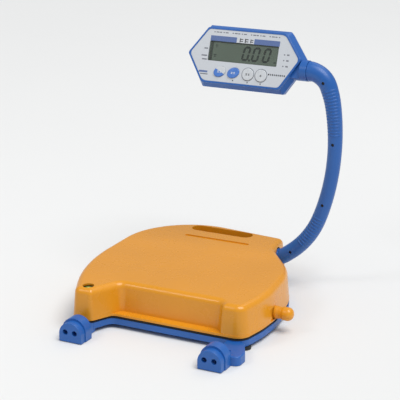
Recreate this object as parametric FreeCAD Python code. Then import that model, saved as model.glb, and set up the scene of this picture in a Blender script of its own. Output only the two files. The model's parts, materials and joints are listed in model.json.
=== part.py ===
import FreeCAD, Part
import math
import os

# Animal weighing scale: low shield-shaped platform on a tray, with a display on a folding curved arm.
# Frame: origin under the middle of the footprint, +X to the arm's side, +Y to the carry slot, +Z up.
# Every length is in millimetres and every angle in degrees.

# ---- heights of the stack, from the floor up ----
TRAY_BOTTOM = 6.5
TRAY_TOP = 15.7
TRAY_WALL = 2.5
SEAL_GAP = 1.2
PLATFORM_GAP = 4.2
COVER_TOP = 68.0
COVER_WALL = 3.0
FLANGE_THICK = 3.3
PLATFORM_TRAVEL = 0.8
STOP_GAP = PLATFORM_TRAVEL + 0.3
FIT_GAP = 0.05

CAP_SCREW_REACH = -163.0
RIM = TRAY_TOP + PLATFORM_GAP
FLANGE_TOP = RIM + FLANGE_THICK
CEILING = COVER_TOP - COVER_WALL

# ---- plan of the platform, laid out from the load cell's centre; the shift centres the footprint ----
FOOTPRINT_SHIFT = 4.0
FRONT_Y = -122.0
LOBE_Y = -157.0
RIGHT_X = 149.0
LEFT_X = -176.0
REAR_Y = 196.5
REAR_RISE = 0.104
NOTCH = (76.5, 142.0)
WALL_DRAFT = 4.0
EDGE_ROUND = 10.0
RECESS_DEPTH = 15.0
RECESS_LEFT_X = -70.0
RECESS_RIGHT_X = 93.0

# ---- carry slot, groove and level window in the cover ----
SLOT_CENTRE = (-38.0, 178.5)
SLOT_LENGTH = 109.5
SLOT_WIDTH = 25.0
SLOT_WALL = 2.0
SLOT_TRAY_GAP = 2.0
GROOVE_CENTRE = (-28.5, 137.0)
GROOVE_LENGTH = 115.0
GROOVE_WIDTH = 8.0
GROOVE_DEPTH = 2.0
LEVEL_CENTRE = (-109.5, -137.5)
LEVEL_HOLE_RADIUS = 8.8
VIAL_RADIUS = 6.4
VIAL_HEIGHT = 10.0

# ---- weighing cell and the plate that spreads the load ----
CELL_LENGTH = 130.0
CELL_WIDTH = 30.0
CELL_HEIGHT = 22.0
CELL_BOTTOM = 22.0
CELL_SCREW_PITCH = 20.0
CELL_SCREW_OFFSET = 48.0
CELL_SCREW_RADIUS = 3.0
CELL_SCREW_HEAD = 4.0
SPACER_LENGTH = 34.0
UPPER_SPACER = 6.0
CELL_FLEX_GAP = PLATFORM_TRAVEL + 0.3
SPIDER_THICK = 4.0
SPIDER_ARM_WIDTH = 30.0
SPIDER_REACH_X = 88.0
SPIDER_REACH_Y = 76.0
PAD_RADIUS = 12.0

SPIDER_BOTTOM = CELL_BOTTOM + CELL_HEIGHT + UPPER_SPACER
SPIDER_TOP = SPIDER_BOTTOM + SPIDER_THICK

# ---- levelling feet, foot caps and legs ----
PAD_FOOT_RADIUS = 10.0
PAD_FOOT_HEIGHT = 5.5
STUD_RADIUS = 3.0
STUD_TOP = 20.0
STUD_GAP = 0.1
FEET = {
    "front_right": (133.0, -105.0),
    "front_left": (-118.0, -118.0),
    "rear_right": (88.0, 88.0),
    "rear_left": (-130.0, 120.0),
}
BLOCK_FRONT_Y = -201.5
BLOCK_LENGTH = 29.0
BLOCK_WIDTH = 37.5
BLOCK_HEIGHT = 34.5
BLOCK_RISE = 3.5
BLOCK_FLARE = 1.2
BLOCK_EDGE = 1.2
BLOCK_STEP_Y = 12.0
LEG_INNER = 11.0
BLOCK_CENTRES = {"left": -104.75, "right": 122.25}
LEG_REARS = {"left": LOBE_Y + 12.0, "right": FRONT_Y + 5.0}
FLOOR_GAP = 0.8
CAP_HOLE_RADIUS = 4.2
CAP_HOLE_SPACING = 15.5
CAP_HOLE_Z = 16.0
CAP_WALL = 4.0
CAP_SCREW_RADIUS = 1.5
TONGUE_LENGTH = 12.0
TONGUE_WIDTH = 22.0
TONGUE_TOP = 24.0
RAMP_LENGTH = 24.0
LEG_TOP = 14.5
LUG_REACH = 13.0
LUG_RADIUS = 9.0

# ---- battery bay ----
BATTERY_CENTRE = (-5.0, -72.0)
BATTERY_RADIUS = 7.25
BATTERY_LENGTH = 50.5
BATTERY_COUNT = 6
BAY_WALL = 2.0
BAY_CLEARANCE = 0.5
DOOR_GAP = 0.4
DOOR_THICK = 1.8
DOOR_BARREL_RADIUS = TRAY_WALL / 2
DOOR_PIN_RADIUS = 0.8
DOOR_PIN_REACH = 1.5
DOOR_CORNER = 3.0

# ---- arm rest knob on the right wall ----
KNOB_Y = -25.0
KNOB_Z = 30.5
KNOB_RADIUS = 10.3
KNOB_TIP_X = 176.0
KNOB_SCREW_RADIUS = 2.0
KNOB_SEAT_GAP = 0.9
POCKET_SIZE = (19.0, 19.0)
POCKET_DEPTH = 1.4

# ---- arm: pivot barrel, bends and tube ----
PIVOT_Y = 161.5
PIVOT_Z = 46.0
BARREL_X = 68.0
ARM_BENDS = [(25.0, 37.4), (144.5, 32.2), (359.0, 29.3), (144.4, 13.6), (34.5, 67.5)]
ARM_STRAIGHT = 13.0
ARM_WALL = 2.6
TUBE_DIAMETERS = [25.2, 25.2, 24.6, 23.4, 22.6, 22.3, 22.6, 23.6, 25.2, 27.8, 30.6]
JOURNAL_RADIUS = 10.0
JOURNAL_LENGTH = 22.0
JOURNAL_ROOT = 4.0
STUB_RADIUS = 8.0
STUB_LENGTH = 7.0
STUB_GAP = 0.5
CABLE_OFFSET = 4.4
CABLE_RADIUS = 2.0
CABLE_BORE_RADIUS = 2.7
RUN_CLEARANCE = 0.06
BUSH_WALL = 2.5
BRACKET_RADIUS = 17.0
BRACKET_LENGTH = 18.0
BRACKET_GAP = PLATFORM_TRAVEL + 1.0
NUT_RADIUS = 13.0
NUT_LENGTH = 5.0
WASHER_THICK = 1.0
ARM_SCREW_FRACTIONS = [0.0906, 0.3677, 0.6437, 0.912]
ARM_SCREW_RADIUS = 1.1
ARM_SCREW_HEAD_RADIUS = 2.4
ARM_SCREW_HEAD = 1.6
ARM_SCREW_RECESS = 3.0
ARM_BOSS_RADIUS = 2.2
COVER_ARM_GAP = 3.2

# ---- display head ----
DISPLAY_X = 10.0
DISPLAY_LENGTH = 187.0
DISPLAY_TOP_LENGTH = 131.0
DISPLAY_HEIGHT = 83.0
DISPLAY_TILT = 20.0
DISPLAY_RAISE = 8.6
FACE_FORWARD = 14.0
HOUSING_DEPTH = 32.0
HOUSING_RIM = 3.0
HOUSING_WALL = 2.2
HOUSING_FLARE = 5.0
FLARE_DEPTH = 10.0
HOUSING_DRAFT = 3.0
HOUSING_BEVEL = 4.0
BEZEL_DEPTH = 5.0
PLATE_THICK = 1.2
PLATE_CLEARANCE = 0.2
CORNER_ROUND = 8.0
WIDE_CORNER_ROUND = 13.0
RIGHT_TIP_RISE = 5.0
LEFT_TIP_RISE = 1.0
NECK_RADIUS = 16.4
NECK_GAP = 0.5
TILT_JOURNAL_RADIUS = 6.5
TILT_JOURNAL_LENGTH = 16.0
TILT_STUB_RADIUS = 5.0
TILT_BUSH_WALL = 2.0
LEAD_RADIUS = 2.0
LCD_SIZE = (119.0, 32.0)
LCD_CENTRE = (-1.9, 7.0)
LCD_THICK = 4.0
WINDOW_THICK = 1.0
BOARD_SIZE = (112.0, 60.0)
BOARD_THICK = 1.6
KEY_CENTRES = [-37.0, -13.3, 11.9, 34.3]
KEY_DROP = 25.2
KEY_RADIUS = 9.6
OVAL_KEY_SIZE = (21.0, 16.0)
OVAL_KEY_TURN = 26.0
OVAL_KEYS = 2
KEY_TRAVEL = 0.8
KEY_PROUD = 1.6
KEY_GAP = 0.3


def vec(x, y, z=0.0):
    return FreeCAD.Vector(x, y, z)


def save(name, shape):
    """Write one sub-part as a clean solid, or as a group of identical solids."""
    os.makedirs("parts", exist_ok=True)
    solids = shape.Solids
    if not solids or not shape.isValid():
        raise RuntimeError("bad solid in " + name)
    result = solids[0] if len(solids) == 1 else Part.makeCompound(solids)
    result.translate(vec(0, -FOOTPRINT_SHIFT, 0))
    result.exportStep("parts/" + name + ".step")


def unit(start, end):
    length = math.hypot(end[0] - start[0], end[1] - start[1])
    return ((end[0] - start[0]) / length, (end[1] - start[1]) / length)


def inset(outline, gap):
    """Move each side of a counter-clockwise outline inwards; the corner radii follow."""
    moved = []
    count = len(outline)
    for index, (x, y, radius) in enumerate(outline):
        arriving = unit(outline[index - 1], (x, y))
        leaving = unit((x, y), outline[(index + 1) % count])
        turn = arriving[0] * leaving[1] - arriving[1] * leaving[0]
        shift = gap / (1.0 + arriving[0] * leaving[0] + arriving[1] * leaving[1])
        new_x = x - shift * (arriving[1] + leaving[1])
        new_y = y + shift * (arriving[0] + leaving[0])
        moved.append((new_x, new_y, max(radius - math.copysign(gap, turn), 0.6)))
    return moved


def rounded_wire(outline, z):
    """Closed wire of straight sides with a tangent arc at every corner."""
    corners = []
    count = len(outline)
    for index, (x, y, radius) in enumerate(outline):
        arriving = unit(outline[index - 1], (x, y))
        leaving = unit((x, y), outline[(index + 1) % count])
        turn = math.acos(max(-1.0, min(1.0, arriving[0] * leaving[0] + arriving[1] * leaving[1])))
        reach = radius * math.tan(turn / 2)
        middle = radius / math.cos(turn / 2) - radius
        across = unit((0, 0), (leaving[0] - arriving[0], leaving[1] - arriving[1]))
        start = vec(x - reach * arriving[0], y - reach * arriving[1], z)
        halfway = vec(x + middle * across[0], y + middle * across[1], z)
        end = vec(x + reach * leaving[0], y + reach * leaving[1], z)
        corners.append((start, halfway, end))
    edges = []
    for index, (start, halfway, end) in enumerate(corners):
        edges.append(Part.Arc(start, halfway, end).toShape())
        edges.append(Part.LineSegment(end, corners[(index + 1) % count][0]).toShape())
    return Part.Wire(edges)


def prism(outline, bottom, top):
    return Part.Face(rounded_wire(outline, bottom)).extrude(vec(0, 0, top - bottom))


def tapered(outline, bottom, top, draft):
    """Prism whose walls lean inwards by the given amount over its height."""
    wires = [rounded_wire(outline, bottom), rounded_wire(inset(outline, draft), top)]
    return Part.makeLoft(wires, True, True)


def round_top(shape, height, radius):
    """Round every edge that lies in the plane at the given height."""
    edges = []
    for edge in shape.Edges:
        if edge.BoundBox.ZMin > height - 0.01 and edge.BoundBox.ZMax < height + 0.01:
            edges.append(edge)
    return shape.makeFillet(radius, edges)


def bevelled(outline, bottom, top, draft, bevel):
    """Leaning prism whose top edge is bevelled."""
    shoulder = top - bevel
    lean = draft * (shoulder - bottom) / (top - bottom)
    lower = tapered(outline, bottom, shoulder, lean)
    return lower.fuse(tapered(inset(outline, lean), shoulder, top, bevel))


def rectangle(centre, size, radius):
    x, y = centre
    half_x, half_y = size[0] / 2, size[1] / 2
    return [(x - half_x, y - half_y, radius), (x + half_x, y - half_y, radius),
            (x + half_x, y + half_y, radius), (x - half_x, y + half_y, radius)]


def obround(centre, length, width, bottom, top):
    """Flat-sided bar with round ends, long in X."""
    return prism(rectangle(centre, (length, width), width / 2 - 0.01), bottom, top)


def post(centre, radius, bottom, top):
    return Part.makeCylinder(radius, top - bottom, vec(centre[0], centre[1], bottom))


def box(low, high):
    size = [b - a for a, b in zip(low, high)]
    return Part.makeBox(size[0], size[1], size[2], vec(low[0], low[1], low[2]))


def bar_x(radius, start, end, y, z):
    """Round bar along X."""
    return Part.makeCylinder(radius, end - start, vec(start, y, z), vec(1, 0, 0))


def bar_y(radius, x, start, end, z):
    """Round bar along Y."""
    return Part.makeCylinder(radius, end - start, vec(x, start, z), vec(0, 1, 0))


def rear_line(x):
    """Y of the rear edge, which rises slightly towards the left."""
    return REAR_Y + (NOTCH[0] - x) * REAR_RISE


def rim_outline():
    """Plan of the platform at its rim, counter-clockwise from the lobe's front left."""
    return [
        (LEFT_X + 50.0, LOBE_Y, 14.0),
        (-95.0, LOBE_Y, 10.0),
        (-80.0, FRONT_Y, 16.0),
        (RIGHT_X - 11.5, FRONT_Y, 20.0),
        (RIGHT_X - 2.0, -72.0, 150.0),
        (RIGHT_X, -32.0, 150.0),
        (RIGHT_X - 10.0, 60.0, 130.0),
        (NOTCH[0], NOTCH[1], 4.0),
        (NOTCH[0] - 8.0, rear_line(NOTCH[0] - 8.0), 7.0),
        (LEFT_X, rear_line(LEFT_X), 122.0),
        (LEFT_X, -52.0, 340.0),
    ]


def wall_outline():
    """Plan of the tall walls: the rim with the long recess along its front."""
    rim = rim_outline()
    recess_y = FRONT_Y + RECESS_DEPTH
    recess = [
        (RECESS_LEFT_X, recess_y, 9.0),
        (RECESS_RIGHT_X, recess_y, 9.0),
        (RECESS_RIGHT_X + 8.0, FRONT_Y + 0.5, 8.0),
    ]
    return rim[:2] + recess + [(rim[3][0], FRONT_Y + 0.5, rim[3][2])] + rim[4:]


def slot_sleeve(grow, bottom, top):
    return obround(SLOT_CENTRE, SLOT_LENGTH + 2 * grow, SLOT_WIDTH + 2 * grow, bottom, top)


def arm_opening(radius, start, end, bottom):
    """Upturned U around the arm's barrel, open at the bottom."""
    round_part = bar_x(radius, start, end, PIVOT_Y, PIVOT_Z)
    straight = box((start, PIVOT_Y - radius, bottom), (end, PIVOT_Y + radius, PIVOT_Z))
    return round_part.fuse(straight)


def platform_cover():
    """Moulded cover with rounded top, shelf flange, carry slot, groove and level window."""
    outer = tapered(wall_outline(), RIM, COVER_TOP, WALL_DRAFT)
    outer = round_top(outer, COVER_TOP, EDGE_ROUND)
    inner = inset(wall_outline(), COVER_WALL)
    hollow = bevelled(inner, RIM, CEILING, WALL_DRAFT, EDGE_ROUND - COVER_WALL)
    flange = prism(rim_outline(), RIM, FLANGE_TOP)
    body = outer.fuse(flange).cut(hollow)
    body = body.fuse(slot_sleeve(SLOT_WALL, RIM, COVER_TOP - 1.0).common(outer))
    body = body.cut(slot_sleeve(0, TRAY_BOTTOM, COVER_TOP + 1))
    opening_radius = JOURNAL_RADIUS + BUSH_WALL + COVER_ARM_GAP
    body = body.cut(arm_opening(opening_radius, NOTCH[0] - 14, NOTCH[0] + 8, RIM - 1))
    bracket_start, bracket_end = bush_start() - BRACKET_GAP, bush_start() + BRACKET_LENGTH + BRACKET_GAP
    body = body.cut(bar_x(BRACKET_RADIUS + BRACKET_GAP, bracket_start, bracket_end, PIVOT_Y, PIVOT_Z))
    groove = obround(GROOVE_CENTRE, GROOVE_LENGTH, GROOVE_WIDTH, COVER_TOP - GROOVE_DEPTH, COVER_TOP + 1)
    body = body.cut(groove).cut(post(LEVEL_CENTRE, LEVEL_HOLE_RADIUS, CEILING - 1, COVER_TOP + 1))
    wall_x = wall_x_at(KNOB_Y, KNOB_Z)
    pocket = box((wall_x - POCKET_DEPTH, KNOB_Y - POCKET_SIZE[0], KNOB_Z - POCKET_SIZE[1] / 2),
                 (wall_x + 5, KNOB_Y, KNOB_Z + POCKET_SIZE[1] / 2))
    stub = bar_x(KNOB_SCREW_RADIUS, wall_x - 12, wall_x + 5, KNOB_Y, KNOB_Z)
    return body.cut(pocket).cut(stub).removeSplitter()


def tongue_front():
    return BLOCK_FRONT_Y + BLOCK_LENGTH - TONGUE_LENGTH


def tongue(centre, grow):
    """Block on the leg that the foot cap slides over, with the ramp behind it."""
    rear = BLOCK_FRONT_Y + BLOCK_LENGTH
    profile = [
        (tongue_front() - grow, LEG_TOP / 2 - grow),
        (tongue_front() - grow, TONGUE_TOP + grow),
        (rear + 1, TONGUE_TOP + grow),
        (rear + RAMP_LENGTH, LEG_TOP - 1),
        (rear + RAMP_LENGTH, LEG_TOP / 2 - grow),
    ]
    half = TONGUE_WIDTH / 2 + grow
    points = [vec(centre - half, y, z) for y, z in profile]
    return Part.Face(Part.makePolygon(points + points[:1])).extrude(vec(2 * half, 0, 0))


def leg_outline(side, centre):
    """Plan of a leg from the tray to its foot cap, with the round lug on its outer side."""
    out = 1 if side == "right" else -1
    half = BLOCK_WIDTH / 2
    cap_rear = BLOCK_FRONT_Y + BLOCK_LENGTH
    leg_rear = LEG_REARS[side]
    lug = centre + out * (half + LUG_REACH)
    points = [
        (centre - out * LEG_INNER, cap_rear, 0.5),
        (centre + out * (half - 3), cap_rear, 0.5),
        (lug, cap_rear + 4, LUG_RADIUS),
        (lug, cap_rear + 4 + 2.2 * LUG_RADIUS, LUG_RADIUS),
        (centre + out * (half - 1), leg_rear - 3, 2.0),
        (centre + out * (half - 4), leg_rear, 2.0),
        (centre - out * LEG_INNER, leg_rear, 2.0),
    ]
    return points if out > 0 else points[::-1]


def base_tray():
    """Shallow tray with two front legs, bosses for the feet and openings for hand and battery."""
    shell = prism(rim_outline(), TRAY_BOTTOM, TRAY_TOP)
    for side, centre in BLOCK_CENTRES.items():
        leg = round_top(prism(leg_outline(side, centre), FLOOR_GAP, LEG_TOP), LEG_TOP, 2.0)
        shell = shell.fuse(leg).fuse(tongue(centre, 0))
    hollow = prism(inset(rim_outline(), TRAY_WALL), TRAY_BOTTOM + TRAY_WALL, TRAY_TOP + 1)
    shell = shell.cut(hollow)
    for centre in FEET.values():
        shell = shell.fuse(post(centre, PAD_FOOT_RADIUS - 2, TRAY_BOTTOM, TRAY_TOP - 1).common(
            prism(rim_outline(), TRAY_BOTTOM, TRAY_TOP)))
        shell = shell.cut(post(centre, STUD_RADIUS + STUD_GAP, 0, TRAY_TOP))
        shell = shell.cut(post(centre, PAD_FOOT_RADIUS + 1.0, 0, PAD_FOOT_HEIGHT + 0.3))
    shell = shell.fuse(slot_sleeve(SLOT_TRAY_GAP + TRAY_WALL, TRAY_BOTTOM, TRAY_TOP).common(
        prism(rim_outline(), TRAY_BOTTOM, TRAY_TOP)))
    shell = shell.cut(slot_sleeve(SLOT_TRAY_GAP, 0, TRAY_TOP + 1))
    level_post = post(LEVEL_CENTRE, VIAL_RADIUS, TRAY_BOTTOM, COVER_TOP - 3 - VIAL_HEIGHT)
    shell = shell.fuse(level_post)
    door_size = bay_size()
    shell = shell.cut(prism(rectangle(BATTERY_CENTRE, door_size, DOOR_CORNER), 0, TRAY_TOP))
    shell = shell.cut(door_pins(DOOR_PIN_RADIUS + RUN_CLEARANCE, DOOR_PIN_REACH + RUN_CLEARANCE))
    for centre in BLOCK_CENTRES.values():
        for x in cap_hole_places(centre):
            hole = bar_y(CAP_SCREW_RADIUS + FIT_GAP, x, tongue_front() - 1, CAP_SCREW_REACH, CAP_HOLE_Z)
            shell = shell.cut(hole)
    return shell.removeSplitter()


def bay_size():
    """Plan size of the battery bay opening in the tray."""
    return (BATTERY_COUNT * 2 * BATTERY_RADIUS + 2 * BAY_CLEARANCE, BATTERY_LENGTH + 8.0)


def cap_hole_places(centre):
    return [centre - CAP_HOLE_SPACING / 2, centre + CAP_HOLE_SPACING / 2]


def door_axis():
    """Y and Z of the battery door's hinge line, just inside the rear edge of the opening."""
    rear = BATTERY_CENTRE[1] + bay_size()[1] / 2
    return rear - DOOR_GAP - DOOR_BARREL_RADIUS, TRAY_BOTTOM + DOOR_BARREL_RADIUS


def door_pins(radius, reach):
    """Bar along the door's hinge line, reaching past both sides of the opening."""
    y, z = door_axis()
    half = bay_size()[0] / 2 + reach
    return bar_x(radius, BATTERY_CENTRE[0] - half, BATTERY_CENTRE[0] + half, y, z)


def foot_cap(centre):
    """Two-step arched cap with two counterbored screw holes in its front."""
    step = BLOCK_FRONT_Y + BLOCK_STEP_Y
    rear = BLOCK_FRONT_Y + BLOCK_LENGTH
    cap = arch(centre, BLOCK_WIDTH / 2, BLOCK_HEIGHT - BLOCK_RISE, BLOCK_FRONT_Y, step)
    cap = cap.fuse(arch(centre, BLOCK_WIDTH / 2 + BLOCK_FLARE, BLOCK_HEIGHT, step, rear)).removeSplitter()
    front_edges = [e for e in cap.Edges if e.BoundBox.YMax < BLOCK_FRONT_Y + 0.01]
    cap = cap.makeFillet(BLOCK_EDGE, front_edges)
    cap = cap.cut(tongue(centre, FIT_GAP))
    for x in cap_hole_places(centre):
        cap = cap.cut(bar_y(CAP_HOLE_RADIUS, x, BLOCK_FRONT_Y - 1, tongue_front() - CAP_WALL, CAP_HOLE_Z))
        cap = cap.cut(bar_y(CAP_SCREW_RADIUS + FIT_GAP, x, BLOCK_FRONT_Y, tongue_front() + 1, CAP_HOLE_Z))
    return cap


def arch(centre, half, height, front, rear):
    """Flat-bottomed block with a round top, along Y."""
    low, spring = FLOOR_GAP, height - half
    left, right = vec(centre - half, front, low), vec(centre + half, front, low)
    shoulder_left, shoulder_right = vec(centre - half, front, spring), vec(centre + half, front, spring)
    crown = Part.Arc(shoulder_right, vec(centre, front, height), shoulder_left).toShape()
    sides = [Part.LineSegment(left, right).toShape(), Part.LineSegment(right, shoulder_right).toShape()]
    wire = Part.Wire(sides + [crown, Part.LineSegment(shoulder_left, left).toShape()])
    return Part.Face(wire).extrude(vec(0, rear - front, 0))


def foot_cap_screws():
    screws = []
    for centre in BLOCK_CENTRES.values():
        for x in cap_hole_places(centre):
            seat = tongue_front() - CAP_WALL
            head = bar_y(CAP_HOLE_RADIUS - 0.6, x, seat - 2.5, seat, CAP_HOLE_Z)
            socket = bar_y(1.4, x, seat - 3, seat - 1, CAP_HOLE_Z)
            shank = bar_y(CAP_SCREW_RADIUS, x, seat, CAP_SCREW_REACH - 1, CAP_HOLE_Z)
            screws.append(head.cut(socket).fuse(shank))
    return Part.makeCompound(screws)


def levelling_pad(centre):
    """Rubber foot with a rounded lower edge, moulded on the head of its stud."""
    pad = post(centre, PAD_FOOT_RADIUS, 0, PAD_FOOT_HEIGHT)
    lower = [e for e in pad.Edges if e.BoundBox.ZMax < 0.01]
    pad = pad.makeFillet(1.2, lower)
    return pad.cut(post(centre, STUD_RADIUS, PAD_FOOT_HEIGHT - 3, PAD_FOOT_HEIGHT + 1))


def levelling_stud(centre):
    stud = post(centre, STUD_RADIUS, PAD_FOOT_HEIGHT - 3, STUD_TOP)
    upper = [e for e in stud.Edges if e.BoundBox.ZMin > STUD_TOP - 0.01]
    return stud.makeChamfer(0.6, upper)


def dust_seal():
    """Black foam strip between tray and cover, just inside the rim."""
    height = PLATFORM_GAP - SEAL_GAP
    outline = inset(rim_outline(), 1.0)
    ring = prism(outline, TRAY_TOP, TRAY_TOP + height)
    ring = ring.cut(prism(inset(outline, TRAY_WALL), TRAY_TOP - 1, TRAY_TOP + height + 1))
    for centre in BLOCK_CENTRES.values():
        ring = ring.cut(tongue(centre, FIT_GAP))
    return ring


def level_vial():
    base = COVER_TOP - 3 - VIAL_HEIGHT
    cup = post(LEVEL_CENTRE, VIAL_RADIUS, base, base + VIAL_HEIGHT)
    return cup.cut(post(LEVEL_CENTRE, VIAL_RADIUS - 1.2, base + 3, base + VIAL_HEIGHT + 1))


def level_lens():
    top = COVER_TOP - 3
    return post(LEVEL_CENTRE, VIAL_RADIUS - 1.25, top - 2.5, top - 0.5)


def load_cell():
    """Single-point weighing cell: aluminium bar with the double bore that lets it flex."""
    half = CELL_LENGTH / 2
    bar = box((-half, -CELL_WIDTH / 2, CELL_BOTTOM), (half, CELL_WIDTH / 2, CELL_BOTTOM + CELL_HEIGHT))
    middle = CELL_BOTTOM + CELL_HEIGHT / 2
    for x in (-12.0, 12.0):
        bar = bar.cut(bar_y(CELL_HEIGHT * 0.41, x, -CELL_WIDTH, CELL_WIDTH, middle))
    bar = bar.cut(box((-12, -CELL_WIDTH, middle - 3), (12, CELL_WIDTH, middle + 3)))
    for centre in cell_screw_places(-1):
        bar = bar.cut(post(centre, CELL_SCREW_RADIUS + FIT_GAP, 0, COVER_TOP))
    return bar


def cell_screw_places(side):
    """Two screws across the cell at one end; side is -1 for the tray end and 1 for the plate end."""
    x = side * CELL_SCREW_OFFSET
    return [(x - CELL_SCREW_PITCH / 2, 0), (x + CELL_SCREW_PITCH / 2, 0)]


def cell_spacer(side, bottom, top):
    x = side * CELL_SCREW_OFFSET
    half = SPACER_LENGTH / 2
    block = box((x - half, -CELL_WIDTH / 2, bottom), (x + half, CELL_WIDTH / 2, top))
    for centre in cell_screw_places(side):
        block = block.cut(post(centre, CELL_SCREW_RADIUS + FIT_GAP, bottom - 1, top + 1))
    return block


def cell_lower_screws():
    """Cap screws that hold the tray end of the cell down onto its spacer."""
    cell_top = CELL_BOTTOM + CELL_HEIGHT
    screws = []
    for centre in cell_screw_places(-1):
        shank = post(centre, CELL_SCREW_RADIUS, TRAY_BOTTOM + TRAY_WALL, cell_top)
        head = post(centre, CELL_SCREW_RADIUS + 2, cell_top, cell_top + CELL_SCREW_HEAD)
        socket = post(centre, CELL_SCREW_RADIUS - 0.5, cell_top + 1.5, cell_top + CELL_SCREW_HEAD + 1)
        screws.append(shank.fuse(head).cut(socket))
    return Part.makeCompound(screws)


def spider_plate():
    """Cross-shaped steel plate that carries the cover on four pads."""
    x, y, half = SPIDER_REACH_X, SPIDER_REACH_Y, SPIDER_ARM_WIDTH / 2
    plate = prism(rectangle((0, 0), (CELL_LENGTH + 10, CELL_WIDTH + 20), 6.0), SPIDER_BOTTOM, SPIDER_TOP)
    for place in pad_places():
        angle = math.degrees(math.atan2(place[1], place[0]))
        reach = math.hypot(x, y)
        arm = prism(rectangle((reach / 2, 0), (reach + SPIDER_ARM_WIDTH, 2 * half), half - 0.1),
                    SPIDER_BOTTOM, SPIDER_TOP)
        arm.rotate(vec(0, 0, 0), vec(0, 0, 1), angle)
        plate = plate.fuse(arm)
    for centre in cell_screw_places(1):
        plate = plate.cut(post(centre, 3.2, SPIDER_BOTTOM - 1, SPIDER_TOP + 1))
    return plate.removeSplitter()


def pad_places():
    return [(sx * SPIDER_REACH_X, sy * SPIDER_REACH_Y) for sx in (-1, 1) for sy in (-1, 1)]


def support_pads():
    return Part.makeCompound([post(p, PAD_RADIUS, SPIDER_TOP, CEILING) for p in pad_places()])


def overload_stops():
    """Four posts on the tray that catch the plate just past full travel."""
    posts = []
    for x, y in pad_places():
        place = (x * 0.8, y * 0.8)
        posts.append(post(place, 6.0, TRAY_BOTTOM + TRAY_WALL, SPIDER_BOTTOM - STOP_GAP))
    return Part.makeCompound(posts)


def battery_box():
    """Open-bottomed box over the battery opening of the tray."""
    size = bay_size()
    top = TRAY_BOTTOM + TRAY_WALL + 2 * BATTERY_RADIUS + 3.0
    outer = prism(rectangle(BATTERY_CENTRE, (size[0] + 2 * BAY_WALL, size[1] + 2 * BAY_WALL), 4.0),
                  TRAY_BOTTOM + TRAY_WALL, top)
    return outer.cut(prism(rectangle(BATTERY_CENTRE, size, 3.0), 0, top - BAY_WALL))


def battery_places():
    first = BATTERY_CENTRE[0] - (BATTERY_COUNT - 1) * BATTERY_RADIUS
    return [first + 2 * BATTERY_RADIUS * index for index in range(BATTERY_COUNT)]


def battery_cells():
    z = TRAY_BOTTOM + TRAY_WALL + BATTERY_RADIUS + 0.4
    start = BATTERY_CENTRE[1] - BATTERY_LENGTH / 2
    cells = []
    for index, x in enumerate(battery_places()):
        can = bar_y(BATTERY_RADIUS - 0.05, x, start, start + BATTERY_LENGTH - 1, z)
        tip = start + BATTERY_LENGTH - 1 if index % 2 else start - 1
        cells.append(can.fuse(bar_y(2.5, x, tip, tip + 1, z)))
    return Part.makeCompound(cells)


def battery_contacts():
    """Spring plates at both ends of the bay."""
    z = TRAY_BOTTOM + TRAY_WALL + 1.5
    half = BATTERY_COUNT * BATTERY_RADIUS - 1
    plates = []
    for side in (-1, 1):
        y = BATTERY_CENTRE[1] + side * (bay_size()[1] / 2 - 0.8)
        low = (BATTERY_CENTRE[0] - half, y - 0.4, z)
        high = (BATTERY_CENTRE[0] + half, y + 0.4, z + 11)
        plates.append(box(low, high))
    return Part.makeCompound(plates)


def battery_door():
    """Lid flush with the tray's underside, on two pins, with a coin slot near its free edge."""
    x = BATTERY_CENTRE[0]
    half = bay_size()[0] / 2 - DOOR_GAP
    hinge_y, hinge_z = door_axis()
    front = BATTERY_CENTRE[1] - bay_size()[1] / 2 + DOOR_GAP
    outline = rectangle((x, (front + hinge_y) / 2), (2 * half, hinge_y - front), DOOR_CORNER)
    door = prism(outline, TRAY_BOTTOM, TRAY_BOTTOM + DOOR_THICK)
    inner = half - DOOR_CORNER
    door = door.fuse(bar_x(DOOR_BARREL_RADIUS, x - inner, x + inner, hinge_y, hinge_z))
    door = door.fuse(door_pins(DOOR_PIN_RADIUS, DOOR_PIN_REACH))
    slot_y = front + 6
    return door.cut(box((x - 8, slot_y - 1, 0), (x + 8, slot_y + 1, TRAY_BOTTOM + 1)))


def arm_rest_knob():
    """Turned knob on the right wall: flange, waist and rounded head, along X."""
    start = wall_x_at(KNOB_Y, KNOB_Z)
    neck = KNOB_RADIUS * 0.88
    face = [
        (start - 1.5, 0), (start - 1.5, KNOB_RADIUS * 0.95), (start + 3, KNOB_RADIUS * 0.95),
        (start + 7, neck), (start + 11, neck),
    ]
    points = [vec(x, KNOB_Y, KNOB_Z + r) for x, r in face]
    edges = [Part.LineSegment(a, b).toShape() for a, b in zip(points, points[1:])]
    shoulder = vec(start + 15, KNOB_Y, KNOB_Z + KNOB_RADIUS)
    bulge = vec(start + 12.2, KNOB_Y, KNOB_Z + KNOB_RADIUS * 0.93)
    edges.append(Part.Arc(points[-1], bulge, shoulder).toShape())
    tip = vec(KNOB_TIP_X, KNOB_Y, KNOB_Z + KNOB_RADIUS * 0.2)
    straight_end = vec(KNOB_TIP_X - KNOB_RADIUS * 0.75, KNOB_Y, KNOB_Z + KNOB_RADIUS)
    edges.append(Part.LineSegment(shoulder, straight_end).toShape())
    bulge = vec(KNOB_TIP_X - KNOB_RADIUS * 0.17, KNOB_Y, KNOB_Z + KNOB_RADIUS * 0.66)
    edges.append(Part.Arc(straight_end, bulge, tip).toShape())
    middle = vec(KNOB_TIP_X, KNOB_Y, KNOB_Z)
    edges.append(Part.LineSegment(tip, middle).toShape())
    edges.append(Part.LineSegment(middle, points[0]).toShape())
    knob = Part.Face(Part.Wire(edges)).revolve(vec(0, KNOB_Y, KNOB_Z), vec(1, 0, 0), 360)
    knob = Part.Solid(knob) if knob.ShapeType == "Shell" else knob
    return knob.cut(bar_x(KNOB_SCREW_RADIUS, start - 3, start + 12, KNOB_Y, KNOB_Z)).cut(cover_solid())


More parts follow.
